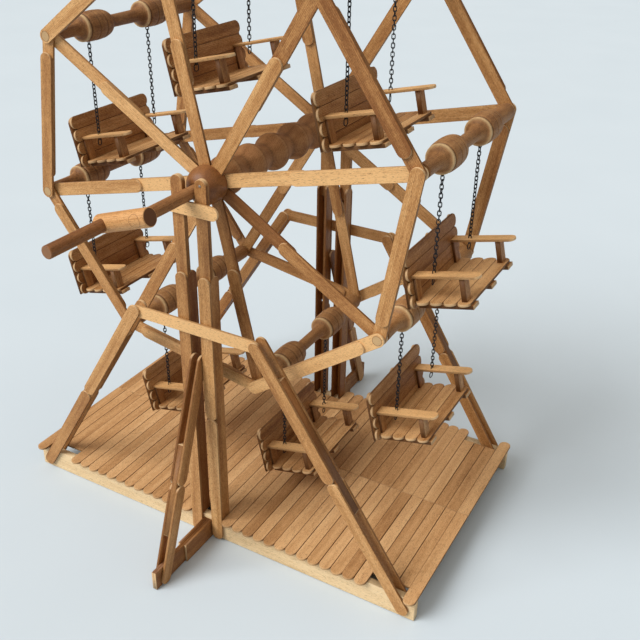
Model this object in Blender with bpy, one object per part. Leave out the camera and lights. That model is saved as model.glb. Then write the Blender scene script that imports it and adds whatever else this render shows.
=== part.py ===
"""Hand-cranked ferris wheel made of craft sticks, turned spindles and fine chain.

X runs along the deck, Y runs away from the crank and Z is up. The origin lies on the
table under the middle of the deck. All sizes are in metres.
"""
import math

import bmesh
import bpy
from mathutils import Matrix, Vector

# Craft stick, the unit that everything is built from
STICK_LENGTH = 0.114
STICK_WIDTH = 0.0103
STICK_THICK = 0.002
TIP_STEPS = 3
HOLE_STEPS = 8

# Clearances, and how far glued pieces run into each other
GAP = 0.0003
GLUE = 0.00005
TIP_PRESS = 0.0003
LAYER_TRIM = 0.0002
EASED_EDGE = 0.0005

# Deck
SIDE_STICKS = 17
MIDDLE_STICKS = 3
FIRST_NOTCHED_STICK = 14
LAST_NOTCHED_STICK = 16
GROOVE_WIDTH = 0.0006
GROOVE_DEPTH = 0.0004
BATTEN_THICK = 0.006
BATTEN_HEIGHT = 0.020
BATTEN_SETBACK = 0.0065
BATTEN_INSET = 0.001
MIDDLE_BATTEN_INSET = 0.014
BATTEN_EDGE = 0.0004

# Tower legs
LEG_JOINT_HEIGHT = 0.1225
LEG_STEP_HEIGHT = 0.245
LEG_TOP_ABOVE_HUB = 0.012
LEG_LAP = 0.012
CHANNEL_DEPTH = 0.010
NAIL_RADIUS = 0.0009
NAIL_HEAD = 0.0004
NAIL_BELOW_TOP = 0.0045
NAIL_SIDE = 1

# Cross bar, bearing stick, braces
CROSS_BAR_HEIGHT = 0.2025
BEARING_LEFT = 0.020
BEARING_RIGHT = 0.025
BRACE_TOP_RISE = 0.0045
BRACE_FOOT_X = 0.1825
BRACE_FOOT_HEIGHT = 0.004
BRACE_SLOT_PLAY = 0.0009
BRACE_CORE_START = 0.38
BRACE_CORE_END = 0.86
BRACE_CORE_WIDTH = 0.0096

# Prop and foot bar
PROP_FOOT_Y = 0.172
PROP_TOP_Y = 0.107
PROP_TOP_HEIGHT = 0.178
PROP_CORE_START = 0.22
PROP_CORE_END = 0.62
PROP_CORE_WIDTH = 0.0096
PROP_JOINT = 0.44
FOOT_BAR_HEIGHT = 0.017
FOOT_BAR_REACH = 0.0725
FOOT_BAR_THICK = 0.004
FOOT_CHEEK_LENGTH = 0.036

# Wheel
WHEEL_TURN = math.radians(13)
CORNERS = 8
RIM_RADIUS = 0.161
RIM_FACE = 0.0866
RIM_SETBACK = 0.012
SWAPPED_SIDE = 1
SPOKE_OVERLAP_START = 0.066
SPOKE_INNER_END = 0.080
SPOKE_START = 0.0122
RAISED_SPOKES = (5, 6, 7)

# Hub and axle
HUB_RADIUS = 0.014
HUB_FOOT_RADIUS = 0.0132
HUB_LENGTH = 0.0200
HUB_SWELL = 0.35
HUB_DOME = (0, 15, 30, 45, 60, 75)
HUB_DOME_POWER = 0.8
HUB_LIP = 0.001
HUB_STEPS = 12
DOWEL_RADIUS = 0.0045
AXLE_BEADS = 5
AXLE_BEAD_RADIUS = 0.0150
AXLE_WAIST_RADIUS = 0.0103
AXLE_BEAD_SHAPE = ((0.0, 0.0), (0.14, 0.60), (0.40, 1.0), (0.72, 0.72))
AXLE_REAR_REACH = 0.004
AXLE_STEPS = 10

# Crank
CRANK_ARM_DISTANCE = 0.158
CRANK_ARM_RADIUS = 0.0065
CRANK_ARM_LEFT = 0.0395
CRANK_ARM_RIGHT = 0.0085
CRANK_ARM_TURN = math.radians(5)
CRANK_DOME = (75, 50, 25, 0)
CRANK_DOME_DEPTH = 0.0035
CRANK_THROW = 0.030
CRANK_HANDLE_LENGTH = 0.048
CRANK_HANDLE_DEPTH = 0.0095
CRANK_STEPS = 12

# Rim spindles: each has two grooved barrels, whose hollowed mouths face the crank.
# The shape of a barrel is (place behind its mouth, share of the rise over the neck).
TENON_RADIUS = 0.0036
TENON_PLAY = 0.0003
SPINDLE_STEPS = 8
SPINDLE_NECK_RADIUS = 0.0048
SPINDLE_REAR_RADIUS = 0.0066
BARREL_RADIUS = 0.0110
BARREL_MOUTH_BEFORE_CHAIN = 0.008
BARREL_LENGTH = 0.032
BARREL_SHAPE = ((-0.0060, 0.0), (-0.0015, 0.26), (0.0, 0.82), (0.0030, 0.74), (0.0040, 0.94),
                (0.0110, 1.0), (0.0120, 0.88), (0.0130, 1.0), (0.0270, 0.80))
CHAIN_Y = 0.0345

# Chains
CHAIN_LINKS = 7
CHAIN_WIDE = 0.0017
CHAIN_FLAT = 0.0006
CHAIN_NECK = 0.0007
CHAIN_HOLE_RADIUS = 0.002
CHAIN_HOLE_STEPS = 4
LOOP_WIDTH = 0.005
LOOP_NARROW_WIDTH = 0.0033
LOOP_HEIGHT = 0.0055
LOOP_CLEARANCE = 0.0012

# Bench seats. The whole bench hangs nearer to the crank than the middle of its spindle.
SEAT_TILT = math.radians(13.5)
ARMREST_DROP = 0.083
ARMREST_LENGTH = 0.049
ARMREST_WIDTH = 0.010
ARMREST_Y = 0.036
ARMREST_BEHIND_CHAIN = 0.0142
SEAT_SLATS = 4
SEAT_HALF_LENGTH = 0.044
BACK_HALF_LENGTH = 0.0465
SEAT_DROP = 0.017
BACK_RISE = 0.0172
UPRIGHT_TOP_DROP = 0.0005
UPRIGHT_LIFT = 0.001
CROSS_BATTEN_PROUD = 0.0015
CROSS_BATTEN_THICK = 0.003
FRONT_POST = (0.004, 0.008)
FRONT_POST_SETBACK = 0.003
SWEEP_CLEARANCE = 0.0121
BENCH_SHIFT = -0.009

# Sizes that follow from the ones above
HALF_STICK = STICK_WIDTH / 2
DECK_HALF_WIDTH = (SIDE_STICKS + MIDDLE_STICKS / 2) * STICK_WIDTH
DECK_TIP_Y = STICK_LENGTH + GAP / 2
BATTEN_FACE = DECK_TIP_Y - BATTEN_SETBACK
BATTEN_BACK = BATTEN_FACE - BATTEN_THICK
DECK_BOTTOM = BATTEN_HEIGHT + GAP
DECK_TOP = DECK_BOTTOM + STICK_THICK
SEAT_DEPTH = SEAT_SLATS * STICK_WIDTH
BENCH_REACH = (ARMREST_DROP + (ARMREST_BEHIND_CHAIN + 2 * STICK_THICK) * math.sin(SEAT_TILT)
               + (SEAT_DEPTH - BACK_RISE) * math.cos(SEAT_TILT))
HUB_HEIGHT = DECK_TOP + SWEEP_CLEARANCE + BENCH_REACH + RIM_RADIUS
LEG_SPACING = STICK_WIDTH + 2 * (DOWEL_RADIUS + GAP)
BRACE_TOP_X = STICK_LENGTH / 2 - HALF_STICK
BRACE_TOP_HEIGHT = CROSS_BAR_HEIGHT + BRACE_TOP_RISE
LEG_BACK = BATTEN_FACE + GAP
LEG_FACE = LEG_BACK + STICK_THICK
CHANNEL_BACK = LEG_BACK - CHANNEL_DEPTH
CROSS_BAR_BACK = LEG_FACE + GAP
CROSS_BAR_FACE = CROSS_BAR_BACK + STICK_THICK
RIM_FRONT_MID = RIM_FACE - STICK_THICK / 2
RIM_BACK_MID = RIM_FRONT_MID - STICK_THICK + GLUE
SPOKE_FACE = RIM_BACK_MID - STICK_THICK / 2 - GAP
SPOKE_OUTER_MID = SPOKE_FACE - STICK_THICK / 2
SPOKE_INNER_MID = SPOKE_OUTER_MID - STICK_THICK + GLUE
SPOKE_RAISED_MID = SPOKE_OUTER_MID + STICK_THICK - GLUE
SPOKE_BACK = SPOKE_INNER_MID - STICK_THICK / 2
SPINDLE_SHOULDER = SPOKE_BACK - GAP
RIM_HOLE_DEPTH = 6 * STICK_THICK
SPOKE_HOLE_DEPTH = 3 * STICK_THICK
RIM_HOLE_RADIUS = TENON_RADIUS + TENON_PLAY
BORE_RADIUS = DOWEL_RADIUS + GAP

X = Vector((1, 0, 0))
Y = Vector((0, 1, 0))
Z = Vector((0, 0, 1))

COLOURS = {
    "deck_wood": ((0.56, 0.36, 0.19), 0.62),
    "pale_wood": ((0.78, 0.62, 0.40), 0.60),
    "stick_wood": ((0.50, 0.28, 0.12), 0.55),
    "armrest_wood": ((0.62, 0.42, 0.23), 0.58),
    "turned_wood": ((0.36, 0.20, 0.10), 0.45),
    "hub_wood": ((0.24, 0.11, 0.05), 0.40),
    "chain_metal": ((0.05, 0.05, 0.055), 0.38),
}
METALS = {"chain_metal"}


# Materials and objects

def make_materials():
    """One Principled material for each kind of wood and for the chain."""
    materials = {}
    for name, (colour, roughness) in COLOURS.items():
        material = bpy.data.materials.new(name)
        material.use_nodes = True
        shader = material.node_tree.nodes["Principled BSDF"]
        shader.inputs["Base Color"].default_value = (*colour, 1)
        shader.inputs["Roughness"].default_value = roughness
        shader.inputs["Metallic"].default_value = float(name in METALS)
        materials[name] = material
    return materials


def make_empty(name, location, turn=0.0):
    """A pivot on a joint's axis, turned about Y."""
    pivot = bpy.data.objects.new(name, None)
    pivot.location = location
    pivot.rotation_euler = (0, turn, 0)
    bpy.context.collection.objects.link(pivot)
    return pivot


def make_object(name, mesh, material, parent=None):
    """One named sub-part, with round faces shaded smooth."""
    mesh.materials.clear()
    mesh.materials.append(material)
    mesh.shade_smooth()
    mesh.set_sharp_from_angle(angle=math.radians(35))
    item = bpy.data.objects.new(name, mesh)
    item.parent = parent
    bpy.context.collection.objects.link(item)
    return item


# Solids

def mesh_of(bm, name="solid"):
    """A closed mesh with its faces pointing out."""
    bmesh.ops.recalc_face_normals(bm, faces=bm.faces)
    mesh = bpy.data.meshes.new(name)
    bm.to_mesh(mesh)
    bm.free()
    return mesh


def arc(centre, radius, start, stop, steps):
    """Points on an arc, both ends included; angles in degrees."""
    angles = [math.radians(start + (stop - start) * i / steps) for i in range(steps + 1)]
    return [(centre[0] + radius * math.cos(a), centre[1] + radius * math.sin(a)) for a in angles]


def stick_outline(length, width, round_start, round_end):
    """A stick along x from 0 to length, centred on y, its ends round or cut square."""
    half = width / 2
    if round_end:
        points = arc((length - half, 0), half, -90, 90, TIP_STEPS)
    else:
        points = [(length, -half), (length, half)]
    if round_start:
        points += arc((half, 0), half, 90, 270, TIP_STEPS)
    else:
        points += [(0, half), (0, -half)]
    return points


def prism(outline, thick):
    """A flat plate with the given outline, its thickness centred on z."""
    bm = bmesh.new()
    base = bm.faces.new([bm.verts.new((x, y, -thick / 2)) for x, y in outline])
    grown = bmesh.ops.extrude_face_region(bm, geom=[base])["geom"]
    lifted = [item for item in grown if isinstance(item, bmesh.types.BMVert)]
    bmesh.ops.translate(bm, verts=lifted, vec=(0, 0, thick))
    return mesh_of(bm)


def placed(mesh, origin, along, across):
    """The mesh moved so that its x runs along, its y across and its z square to both."""
    along = Vector(along).normalized()
    square = along.cross(Vector(across)).normalized()
    across = square.cross(along)
    turn = Matrix((along, across, square)).transposed().to_4x4()
    mesh.transform(Matrix.Translation(Vector(origin)) @ turn)
    return mesh


def stick(origin, along, across, length, width=STICK_WIDTH, thick=STICK_THICK,
          round_start=True, round_end=True):
    """One flat stick that starts at origin, with its thickness centred on it."""
    outline = stick_outline(length, width, round_start, round_end)
    return placed(prism(outline, thick), origin, along, across)


def bar(low, high, edge=0.0):
    """A straight bar between two corners, with its long edges eased."""
    bm = bmesh.new()
    low, high = Vector(low), Vector(high)
    bmesh.ops.create_cube(bm, size=1, matrix=Matrix.Translation((low + high) / 2)
                          @ Matrix.Diagonal((*(high - low), 1)))
    if edge:
        bmesh.ops.bevel(bm, geom=bm.edges[:], offset=edge, segments=1, affect="EDGES")
    return mesh_of(bm)


def turned(profile, steps, bore=0.0):
    """A shape turned about Y from (place along Y, radius) points, solid or with a bore."""
    if bore:
        points = [(profile[0][0], bore), *profile, (profile[-1][0], bore)]
    else:
        points = [(profile[0][0], 0.0), *profile, (profile[-1][0], 0.0)]
    bm = bmesh.new()
    line = [bm.verts.new((radius, place, 0)) for place, radius in points]
    edges = [bm.edges.new(pair) for pair in zip(line, line[1:])]
    if bore:
        edges.append(bm.edges.new((line[-1], line[0])))
    bmesh.ops.spin(bm, geom=line + edges, cent=(0, 0, 0), axis=Y, angle=math.tau, steps=steps)
    bmesh.ops.remove_doubles(bm, verts=bm.verts, dist=1e-6)
    return mesh_of(bm)


def drill(centre, axis, radius, length, steps=HOLE_STEPS):
    """A cutter for a hole, whose flats lie at the given radius."""
    corner_radius = radius / math.cos(math.pi / steps)
    mesh = turned([(-length / 2, corner_radius), (length / 2, corner_radius)], steps)
    turn = Y.rotation_difference(Vector(axis)).to_matrix().to_4x4()
    mesh.transform(Matrix.Translation(Vector(centre)) @ turn)
    return mesh


def mirrored(mesh):
    """The same solid on the other side of the wheel, seen through the plane Y = 0."""
    twin = mesh.copy()
    twin.transform(Matrix.Diagonal((1, -1, 1, 1)))
    twin.flip_normals()
    return twin


def combined(meshes, cutters=()):
    """One closed mesh: all the meshes glued together, less the cutters."""
    work = bpy.data.objects.new("work", meshes[0])
    bpy.context.collection.objects.link(work)
    helpers = []
    for operation, group in (("UNION", meshes[1:]), ("DIFFERENCE", cutters)):
        for mesh in group:
            helper = bpy.data.objects.new("helper", mesh)
            helper.hide_render = True
            helper.display_type = "WIRE"
            bpy.context.collection.objects.link(helper)
            helpers.append(helper)
            step = work.modifiers.new(operation, "BOOLEAN")
            step.operation = operation
            step.solver = "EXACT"
            step.object = helper
    graph = bpy.context.evaluated_depsgraph_get()
    result = bpy.data.meshes.new_from_object(work.evaluated_get(graph))
    for item in (work, *helpers):
        bpy.data.objects.remove(item)
    return result


def planks(centres, near_ends, far_ends, groove=0.0):
    """Sticks glued side by side: x across the sticks, y along them, z up from the underside.

    Each stick has its own two ends. An end is (y, round) and a flat one is cut square.
    The seams show as grooves of the given width.
    """
    low = centres[0] - HALF_STICK
    high = centres[-1] + HALF_STICK
    tip = HALF_STICK
    beyond = STICK_WIDTH
    thick = STICK_THICK
    section = [(high, 0), (high, thick)]
    for centre in reversed(centres[1:] if groove else []):
        seam = centre - HALF_STICK
        section += [(seam + groove / 2, thick), (seam, thick - GROOVE_DEPTH),
                    (seam - groove / 2, thick)]
    section += [(low, thick), (low, 0)]
    top = max(y for y, is_round in far_ends)
    bottom = min(y for y, is_round in near_ends)
    boards = prism(section, top - bottom + 2 * beyond)
    boards = placed(boards, (0, (top + bottom) / 2, 0), X, Z)
    outline = []
    for centre, (end, is_round) in zip(centres, near_ends):
        if is_round:
            outline += arc((centre, end + tip), tip, 180, 360, TIP_STEPS)
        else:
            outline += [(centre - HALF_STICK, end), (centre + HALF_STICK, end)]
    outline.append((high + beyond, outline[-1][1]))
    side = []
    for centre, (end, is_round) in reversed(list(zip(centres, far_ends))):
        if is_round:
            side += arc((centre, end - tip), tip, 0, 180, TIP_STEPS)
        else:
            side += [(centre + HALF_STICK, end), (centre - HALF_STICK, end)]
    outline.append((high + beyond, side[0][1]))
    outline += side
    outline.append((low - beyond, side[-1][1]))
    outline.append((low - beyond, outline[0][1]))
    distinct = [point for point, after in zip(outline, outline[1:] + outline[:1])
                if math.dist(point, after) > GLUE]
    shape = prism(distinct, thick + 2 * beyond)
    return intersected(boards, shape)


def intersected(first, second):
    """The space that both meshes share."""
    work = bpy.data.objects.new("work", first)
    helper = bpy.data.objects.new("helper", second)
    for item in (work, helper):
        bpy.context.collection.objects.link(item)
    step = work.modifiers.new("shared", "BOOLEAN")
    step.operation = "INTERSECT"
    step.solver = "EXACT"
    step.object = helper
    graph = bpy.context.evaluated_depsgraph_get()
    result = bpy.data.meshes.new_from_object(work.evaluated_get(graph))
    for item in (work, helper):
        bpy.data.objects.remove(item)
    return result


# Deck

def rear_deck_row():
    """One row of deck sticks: cut short behind the legs and round the feet of the braces."""
    reach = SIDE_STICKS + MIDDLE_STICKS // 2
    numbers = range(-reach, reach + 1)
    notch_y = BATTEN_BACK - 2 * STICK_THICK + GAP
    ends = []
    for number in numbers:
        place = abs(number) - MIDDLE_STICKS // 2
        if place <= 0:
            ends.append((CHANNEL_BACK - 2 * GAP, False))
        elif FIRST_NOTCHED_STICK <= place <= LAST_NOTCHED_STICK:
            ends.append((notch_y, False))
        else:
            ends.append((DECK_TIP_Y, True))
    starts = [(GAP / 2, False)] * len(ends)
    row = planks([number * STICK_WIDTH for number in numbers], starts, ends, GROOVE_WIDTH)
    row.transform(Matrix.Translation((0, 0, DECK_BOTTOM)))
    return row


def batten(middle_y, inset):
    """A pale batten on edge under the deck."""
    half = DECK_HALF_WIDTH - inset
    low = (-half, middle_y - BATTEN_THICK / 2, 0)
    high = (half, middle_y + BATTEN_THICK / 2, BATTEN_HEIGHT)
    return bar(low, high, BATTEN_EDGE)


# Tower, modelled at the rear and mirrored to the front

def rear_leg(side):
    """One upright: flat sticks end to end, a channel of sticks on edge, a two-layer top."""
    middle = side * LEG_SPACING / 2
    face_mid = LEG_BACK + STICK_THICK / 2
    top = HUB_HEIGHT + LEG_TOP_ABOVE_HUB
    lower = stick((middle, face_mid, 0), Z, X, LEG_JOINT_HEIGHT + TIP_PRESS)
    upper = stick((middle, face_mid, LEG_JOINT_HEIGHT), Z, X, LEG_STEP_HEIGHT - LEG_JOINT_HEIGHT)
    pieces = [lower, upper]
    cheek_width = CHANNEL_DEPTH + GLUE
    cheek_y = LEG_BACK + GLUE - cheek_width / 2
    for edge in (-1, 1):
        cheek_x = middle + edge * (HALF_STICK - LAYER_TRIM / 2 - STICK_THICK / 2)
        pieces.append(stick((cheek_x, cheek_y, DECK_BOTTOM), Z, Y, LEG_STEP_HEIGHT - DECK_BOTTOM,
                            width=cheek_width, round_start=False))
    start = LEG_STEP_HEIGHT - LEG_LAP
    for layer, trim in ((0, 2), (1, 3)):
        layer_mid = LEG_BACK + GLUE - STICK_THICK / 2 - layer * (STICK_THICK - GLUE)
        width = STICK_WIDTH - trim * LAYER_TRIM
        pieces.append(stick((middle, layer_mid, start), Z, X, top - start, width=width,
                            round_start=False))
    if side == NAIL_SIDE:
        head = LEG_BACK + GLUE + NAIL_HEAD
        nail = turned([(LEG_BACK, NAIL_RADIUS), (head, NAIL_RADIUS)], HOLE_STEPS)
        nail.transform(Matrix.Translation((middle, 0, top - NAIL_BELOW_TOP)))
        pieces.append(nail)
    return combined(pieces)


def rear_cross_bar():
    """The level stick that ties the legs to the tops of the braces."""
    middle = CROSS_BAR_BACK + STICK_THICK / 2
    return stick((-STICK_LENGTH / 2, middle, CROSS_BAR_HEIGHT), X, Z, STICK_LENGTH)


def rear_bearing():
    """The short level stick that the axle turns on."""
    middle = LEG_BACK + GLUE + GAP + STICK_THICK / 2
    height = HUB_HEIGHT - DOWEL_RADIUS - GAP - HALF_STICK
    return stick((-BEARING_LEFT, middle, height), X, Z, BEARING_LEFT + BEARING_RIGHT)


def rear_brace(side):
    """A sloping brace: two layers of lapped sticks with a core, astride the batten."""
    outer_foot = Vector((side * BRACE_FOOT_X, LEG_BACK + STICK_THICK / 2, BRACE_FOOT_HEIGHT))
    outer_top = Vector((side * BRACE_TOP_X, CROSS_BAR_FACE + GAP + STICK_THICK / 2,
                        BRACE_TOP_HEIGHT))
    along = outer_top - outer_foot
    length = along.length
    along.normalize()
    across = Y.cross(along)
    inward = along.cross(across).normalized()
    if inward.y > 0:
        inward = -inward
    lean = (outer_top.y - outer_foot.y) / (outer_top.z - outer_foot.z)
    slot = BATTEN_THICK + BRACE_SLOT_PLAY + lean * (BATTEN_HEIGHT - BRACE_FOOT_HEIGHT)
    pieces = []
    for layer, trim in ((0, 0), (1, 1)):
        shift = layer * (slot + STICK_THICK) * inward
        width = STICK_WIDTH - trim * LAYER_TRIM
        foot = outer_foot + shift
        half = (length + TIP_PRESS) / 2
        pieces.append(stick(foot, along, across, half, width=width))
        pieces.append(stick(foot + along * (length - half), along, across, half, width=width))
    core_start = outer_foot + along * (BRACE_CORE_START * length)
    core_start += inward * (STICK_THICK + slot) / 2
    core_length = (BRACE_CORE_END - BRACE_CORE_START) * length
    pieces.append(stick(core_start, along, across, core_length, width=BRACE_CORE_WIDTH,
                        thick=slot + 2 * GLUE, round_start=False, round_end=False))
    return combined(pieces)


def rear_prop():
    """The sloping prop: two layers of lapped sticks astride the foot bar, with a core."""
    foot = Vector((0, PROP_FOOT_Y, 0))
    top = Vector((0, PROP_TOP_Y, PROP_TOP_HEIGHT))
    along = (top - foot).normalized()
    length = (top - foot).length
    across = X.cross(along)
    lift = HALF_STICK * (1 - along.z)
    foot = foot + Z * lift
    slot = FOOT_BAR_THICK + 2 * GAP
    pieces = []
    for side in (-1, 1):
        start = foot + X * side * (slot + STICK_THICK) / 2
        lower = PROP_JOINT * length
        width = STICK_WIDTH - (side + 1) / 2 * LAYER_TRIM
        pieces.append(stick(start, along, across, lower + TIP_PRESS, width=width))
        pieces.append(stick(start + along * lower, along, across, length - lower, width=width))
    core_start = foot + along * (PROP_CORE_START * length)
    core_length = (PROP_CORE_END - PROP_CORE_START) * length
    pieces.append(stick(core_start, along, across, core_length, width=PROP_CORE_WIDTH,
                        thick=slot + 2 * GLUE, round_start=False, round_end=False))
    return combined(pieces)


def rear_foot_bar():
    """The bar on the table from the legs out through the prop's foot, thicker near the legs."""
    inner = LEG_BACK
    half = FOOT_BAR_THICK / 2
    core = bar((-half, inner, 0), (half, inner + FOOT_BAR_REACH, FOOT_BAR_HEIGHT - LAYER_TRIM))
    pieces = [core]
    for side in (-1, 1):
        near, far = sorted((side * (half - GLUE), side * (half + STICK_THICK)))
        pieces.append(bar((near, inner + GLUE, GLUE),
                          (far, inner + FOOT_CHEEK_LENGTH, FOOT_BAR_HEIGHT)))
    return combined(pieces)


# Wheel, modelled about the hub with corner 0 on +X, and mirrored to the rear

def corner(number, radius=RIM_RADIUS):
    """A point on the wheel at the angle of a corner, counted clockwise seen from the crank."""
    angle = -number * math.tau / CORNERS
    return Vector((radius * math.cos(angle), 0, radius * math.sin(angle)))


def corner_cutters(middle, depth):
    """Pins that bore the eight corner holes."""
    return [drill(corner(k) + Y * middle, Y, RIM_HOLE_RADIUS, depth) for k in range(CORNERS)]


def front_rim():
    """The octagon: each side is two lapped sticks, and each corner laps over the next side."""
    pieces = []
    for k in range(CORNERS):
        start = corner(k)
        end = corner(k + 1)
        along = (end - start).normalized()
        across = Y.cross(along)
        side_length = (end - start).length
        long_stick = HALF_STICK + side_length - RIM_SETBACK
        first = start - along * HALF_STICK
        pieces.append(stick(first - Y * RIM_FRONT_MID, along, across, long_stick))
        partner = start + along * RIM_SETBACK
        layer_y = RIM_BACK_MID
        if k == SWAPPED_SIDE:
            layer_y = RIM_FRONT_MID + STICK_THICK - GLUE
        pieces.append(stick(partner - Y * layer_y, along, across, long_stick,
                            width=STICK_WIDTH - LAYER_TRIM))
    return combined(pieces, corner_cutters(-RIM_BACK_MID, RIM_HOLE_DEPTH))


def hub_profile():
    """The turned hub from its spigot among the spokes to its domed outer end."""
    foot = SPOKE_INNER_MID + STICK_THICK / 2 - GLUE
    outer = foot + HUB_LENGTH
    swell = foot + HUB_LENGTH * HUB_SWELL
    points = [(-SPOKE_BACK, SPOKE_START + GLUE), (-foot, SPOKE_START + GLUE)]
    points += [(-foot, HUB_FOOT_RADIUS)]
    for angle in HUB_DOME:
        place = swell + (outer - swell) * math.sin(math.radians(angle))
        points.append((-place, HUB_RADIUS * math.cos(math.radians(angle)) ** HUB_DOME_POWER))
    points.append((-outer, BORE_RADIUS + HUB_LIP))
    return points


def front_hub_and_spokes():
    """The hub ball with eight spokes glued round it, each an inner and an outer stick.

    The inner stick lies behind the outer one, and in the raised spokes in front of it.
    """
    pieces = [turned(hub_profile(), HUB_STEPS, bore=BORE_RADIUS)]
    for k in range(CORNERS):
        along = corner(k).normalized()
        across = Y.cross(along)
        inner_y = SPOKE_RAISED_MID if k in RAISED_SPOKES else SPOKE_INNER_MID
        inner_start = along * SPOKE_START - Y * inner_y
        pieces.append(stick(inner_start, along, across, SPOKE_INNER_END - SPOKE_START,
                            width=STICK_WIDTH - LAYER_TRIM, round_start=False))
        outer_start = along * SPOKE_OVERLAP_START - Y * SPOKE_OUTER_MID
        pieces.append(stick(outer_start, along, across,
                            RIM_RADIUS + HALF_STICK - SPOKE_OVERLAP_START))
    return combined(pieces, corner_cutters(-SPOKE_OUTER_MID, SPOKE_HOLE_DEPTH))


def axle_profile():
    """The beaded axle between the hubs, with a dowel at each end."""
    half = SPINDLE_SHOULDER
    front = -(CRANK_ARM_DISTANCE + CRANK_ARM_RADIUS)
    rear = LEG_FACE + STICK_THICK + AXLE_REAR_REACH
    points = [(front, DOWEL_RADIUS), (-half, DOWEL_RADIUS)]
    bead = 2 * half / AXLE_BEADS
    for number in range(AXLE_BEADS):
        start = -half + number * bead
        for share, swell in AXLE_BEAD_SHAPE:
            radius = AXLE_WAIST_RADIUS + swell * (AXLE_BEAD_RADIUS - AXLE_WAIST_RADIUS)
            points.append((start + share * bead, radius))
    points += [(half, AXLE_WAIST_RADIUS), (half, DOWEL_RADIUS), (rear, DOWEL_RADIUS)]
    return points


def crank_arm():
    """The round cross arm on the axle's end: a cut end on the right, a domed end on the left."""
    points = []
    for angle in CRANK_DOME:
        place = -CRANK_ARM_LEFT + CRANK_DOME_DEPTH * (1 - math.sin(math.radians(angle)))
        points.append((place, CRANK_ARM_RADIUS * math.cos(math.radians(angle))))
    points.append((CRANK_ARM_RIGHT - EASED_EDGE, CRANK_ARM_RADIUS))
    points.append((CRANK_ARM_RIGHT, CRANK_ARM_RADIUS - EASED_EDGE))
    arm = turned(points, CRANK_STEPS)
    arm.transform(Y.rotation_difference(X).to_matrix().to_4x4())
    arm.transform(Matrix.Translation((0, -CRANK_ARM_DISTANCE, 0)))
    through = 3 * CRANK_ARM_RADIUS
    axle_bore = drill((0, -CRANK_ARM_DISTANCE, 0), Y, BORE_RADIUS, through)
    socket_floor = CRANK_ARM_DISTANCE + CRANK_ARM_RADIUS - CRANK_HANDLE_DEPTH
    socket = drill((-CRANK_THROW, -(socket_floor + through / 2), 0), Y, BORE_RADIUS, through)
    crank = combined([arm], [axle_bore, socket])
    crank.transform(Matrix.Rotation(-CRANK_ARM_TURN, 4, "Y"))
    return crank


def crank_handle():
    """The handle dowel, from its socket in the arm towards the person who turns it."""
    start = CRANK_ARM_DISTANCE + CRANK_ARM_RADIUS - CRANK_HANDLE_DEPTH + GAP
    end = CRANK_ARM_DISTANCE + CRANK_ARM_RADIUS + CRANK_HANDLE_LENGTH
    profile = [(-end, DOWEL_RADIUS - EASED_EDGE), (-end + EASED_EDGE, DOWEL_RADIUS),
               (-start, DOWEL_RADIUS)]
    handle = turned(profile, CRANK_STEPS)
    handle.transform(Matrix.Rotation(-CRANK_ARM_TURN, 4, "Y")
                     @ Matrix.Translation((-CRANK_THROW, 0, 0)))
    return handle


# Gondola, modelled about its spindle's axis

def spindle_profile():
    """The rim spindle: tenons, and two barrels of one shape on a slender core."""
    points = [(-RIM_FACE, TENON_RADIUS), (-SPINDLE_SHOULDER, TENON_RADIUS),
              (-SPINDLE_SHOULDER, SPINDLE_NECK_RADIUS)]
    for chain_y, after in ((-CHAIN_Y, SPINDLE_NECK_RADIUS), (CHAIN_Y, SPINDLE_REAR_RADIUS)):
        mouth = chain_y + BENCH_SHIFT - BARREL_MOUTH_BEFORE_CHAIN
        for place, share in BARREL_SHAPE:
            radius = SPINDLE_NECK_RADIUS + share * (BARREL_RADIUS - SPINDLE_NECK_RADIUS)
            points.append((mouth + place, radius))
        points.append((mouth + BARREL_LENGTH, after))
    points += [(SPINDLE_SHOULDER, SPINDLE_REAR_RADIUS), (SPINDLE_SHOULDER, TENON_RADIUS),
               (RIM_FACE, TENON_RADIUS)]
    return points


def chain(side):
    """A hanging chain in alternating flat links, with the loop that holds the armrest."""
    top = -(BARREL_RADIUS + GAP)
    armrest_top = -ARMREST_DROP
    under = armrest_top - STICK_THICK - LOOP_CLEARANCE
    pitch = (top - armrest_top) / CHAIN_LINKS
    stations = [(top, CHAIN_NECK, CHAIN_NECK)]
    for number in range(CHAIN_LINKS):
        middle = top - (number + 0.5) * pitch
        wide, flat = (CHAIN_WIDE, CHAIN_FLAT) if number % 2 else (CHAIN_FLAT, CHAIN_WIDE)
        stations.append((middle, wide, flat))
        stations.append((middle - pitch / 2, CHAIN_NECK, CHAIN_NECK))
    stations.append((under, CHAIN_NECK, CHAIN_NECK))
    stations.append((under - GAP, CHAIN_FLAT, LOOP_WIDTH / 2))
    stations.append((under - LOOP_HEIGHT, CHAIN_FLAT, LOOP_NARROW_WIDTH / 2))
    bm = bmesh.new()
    rings = []
    for height, half_x, half_y in stations:
        corners = ((half_x, half_y), (-half_x, half_y), (-half_x, -half_y), (half_x, -half_y))
        rings.append([bm.verts.new((x, y + side * CHAIN_Y + BENCH_SHIFT, height))
                      for x, y in corners])
    for upper, lower in zip(rings, rings[1:]):
        for i in range(4):
            j = (i + 1) % 4
            bm.faces.new((upper[i], upper[j], lower[j], lower[i]))
    bm.faces.new(rings[0])
    bm.faces.new(rings[-1])
    return mesh_of(bm)


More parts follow.
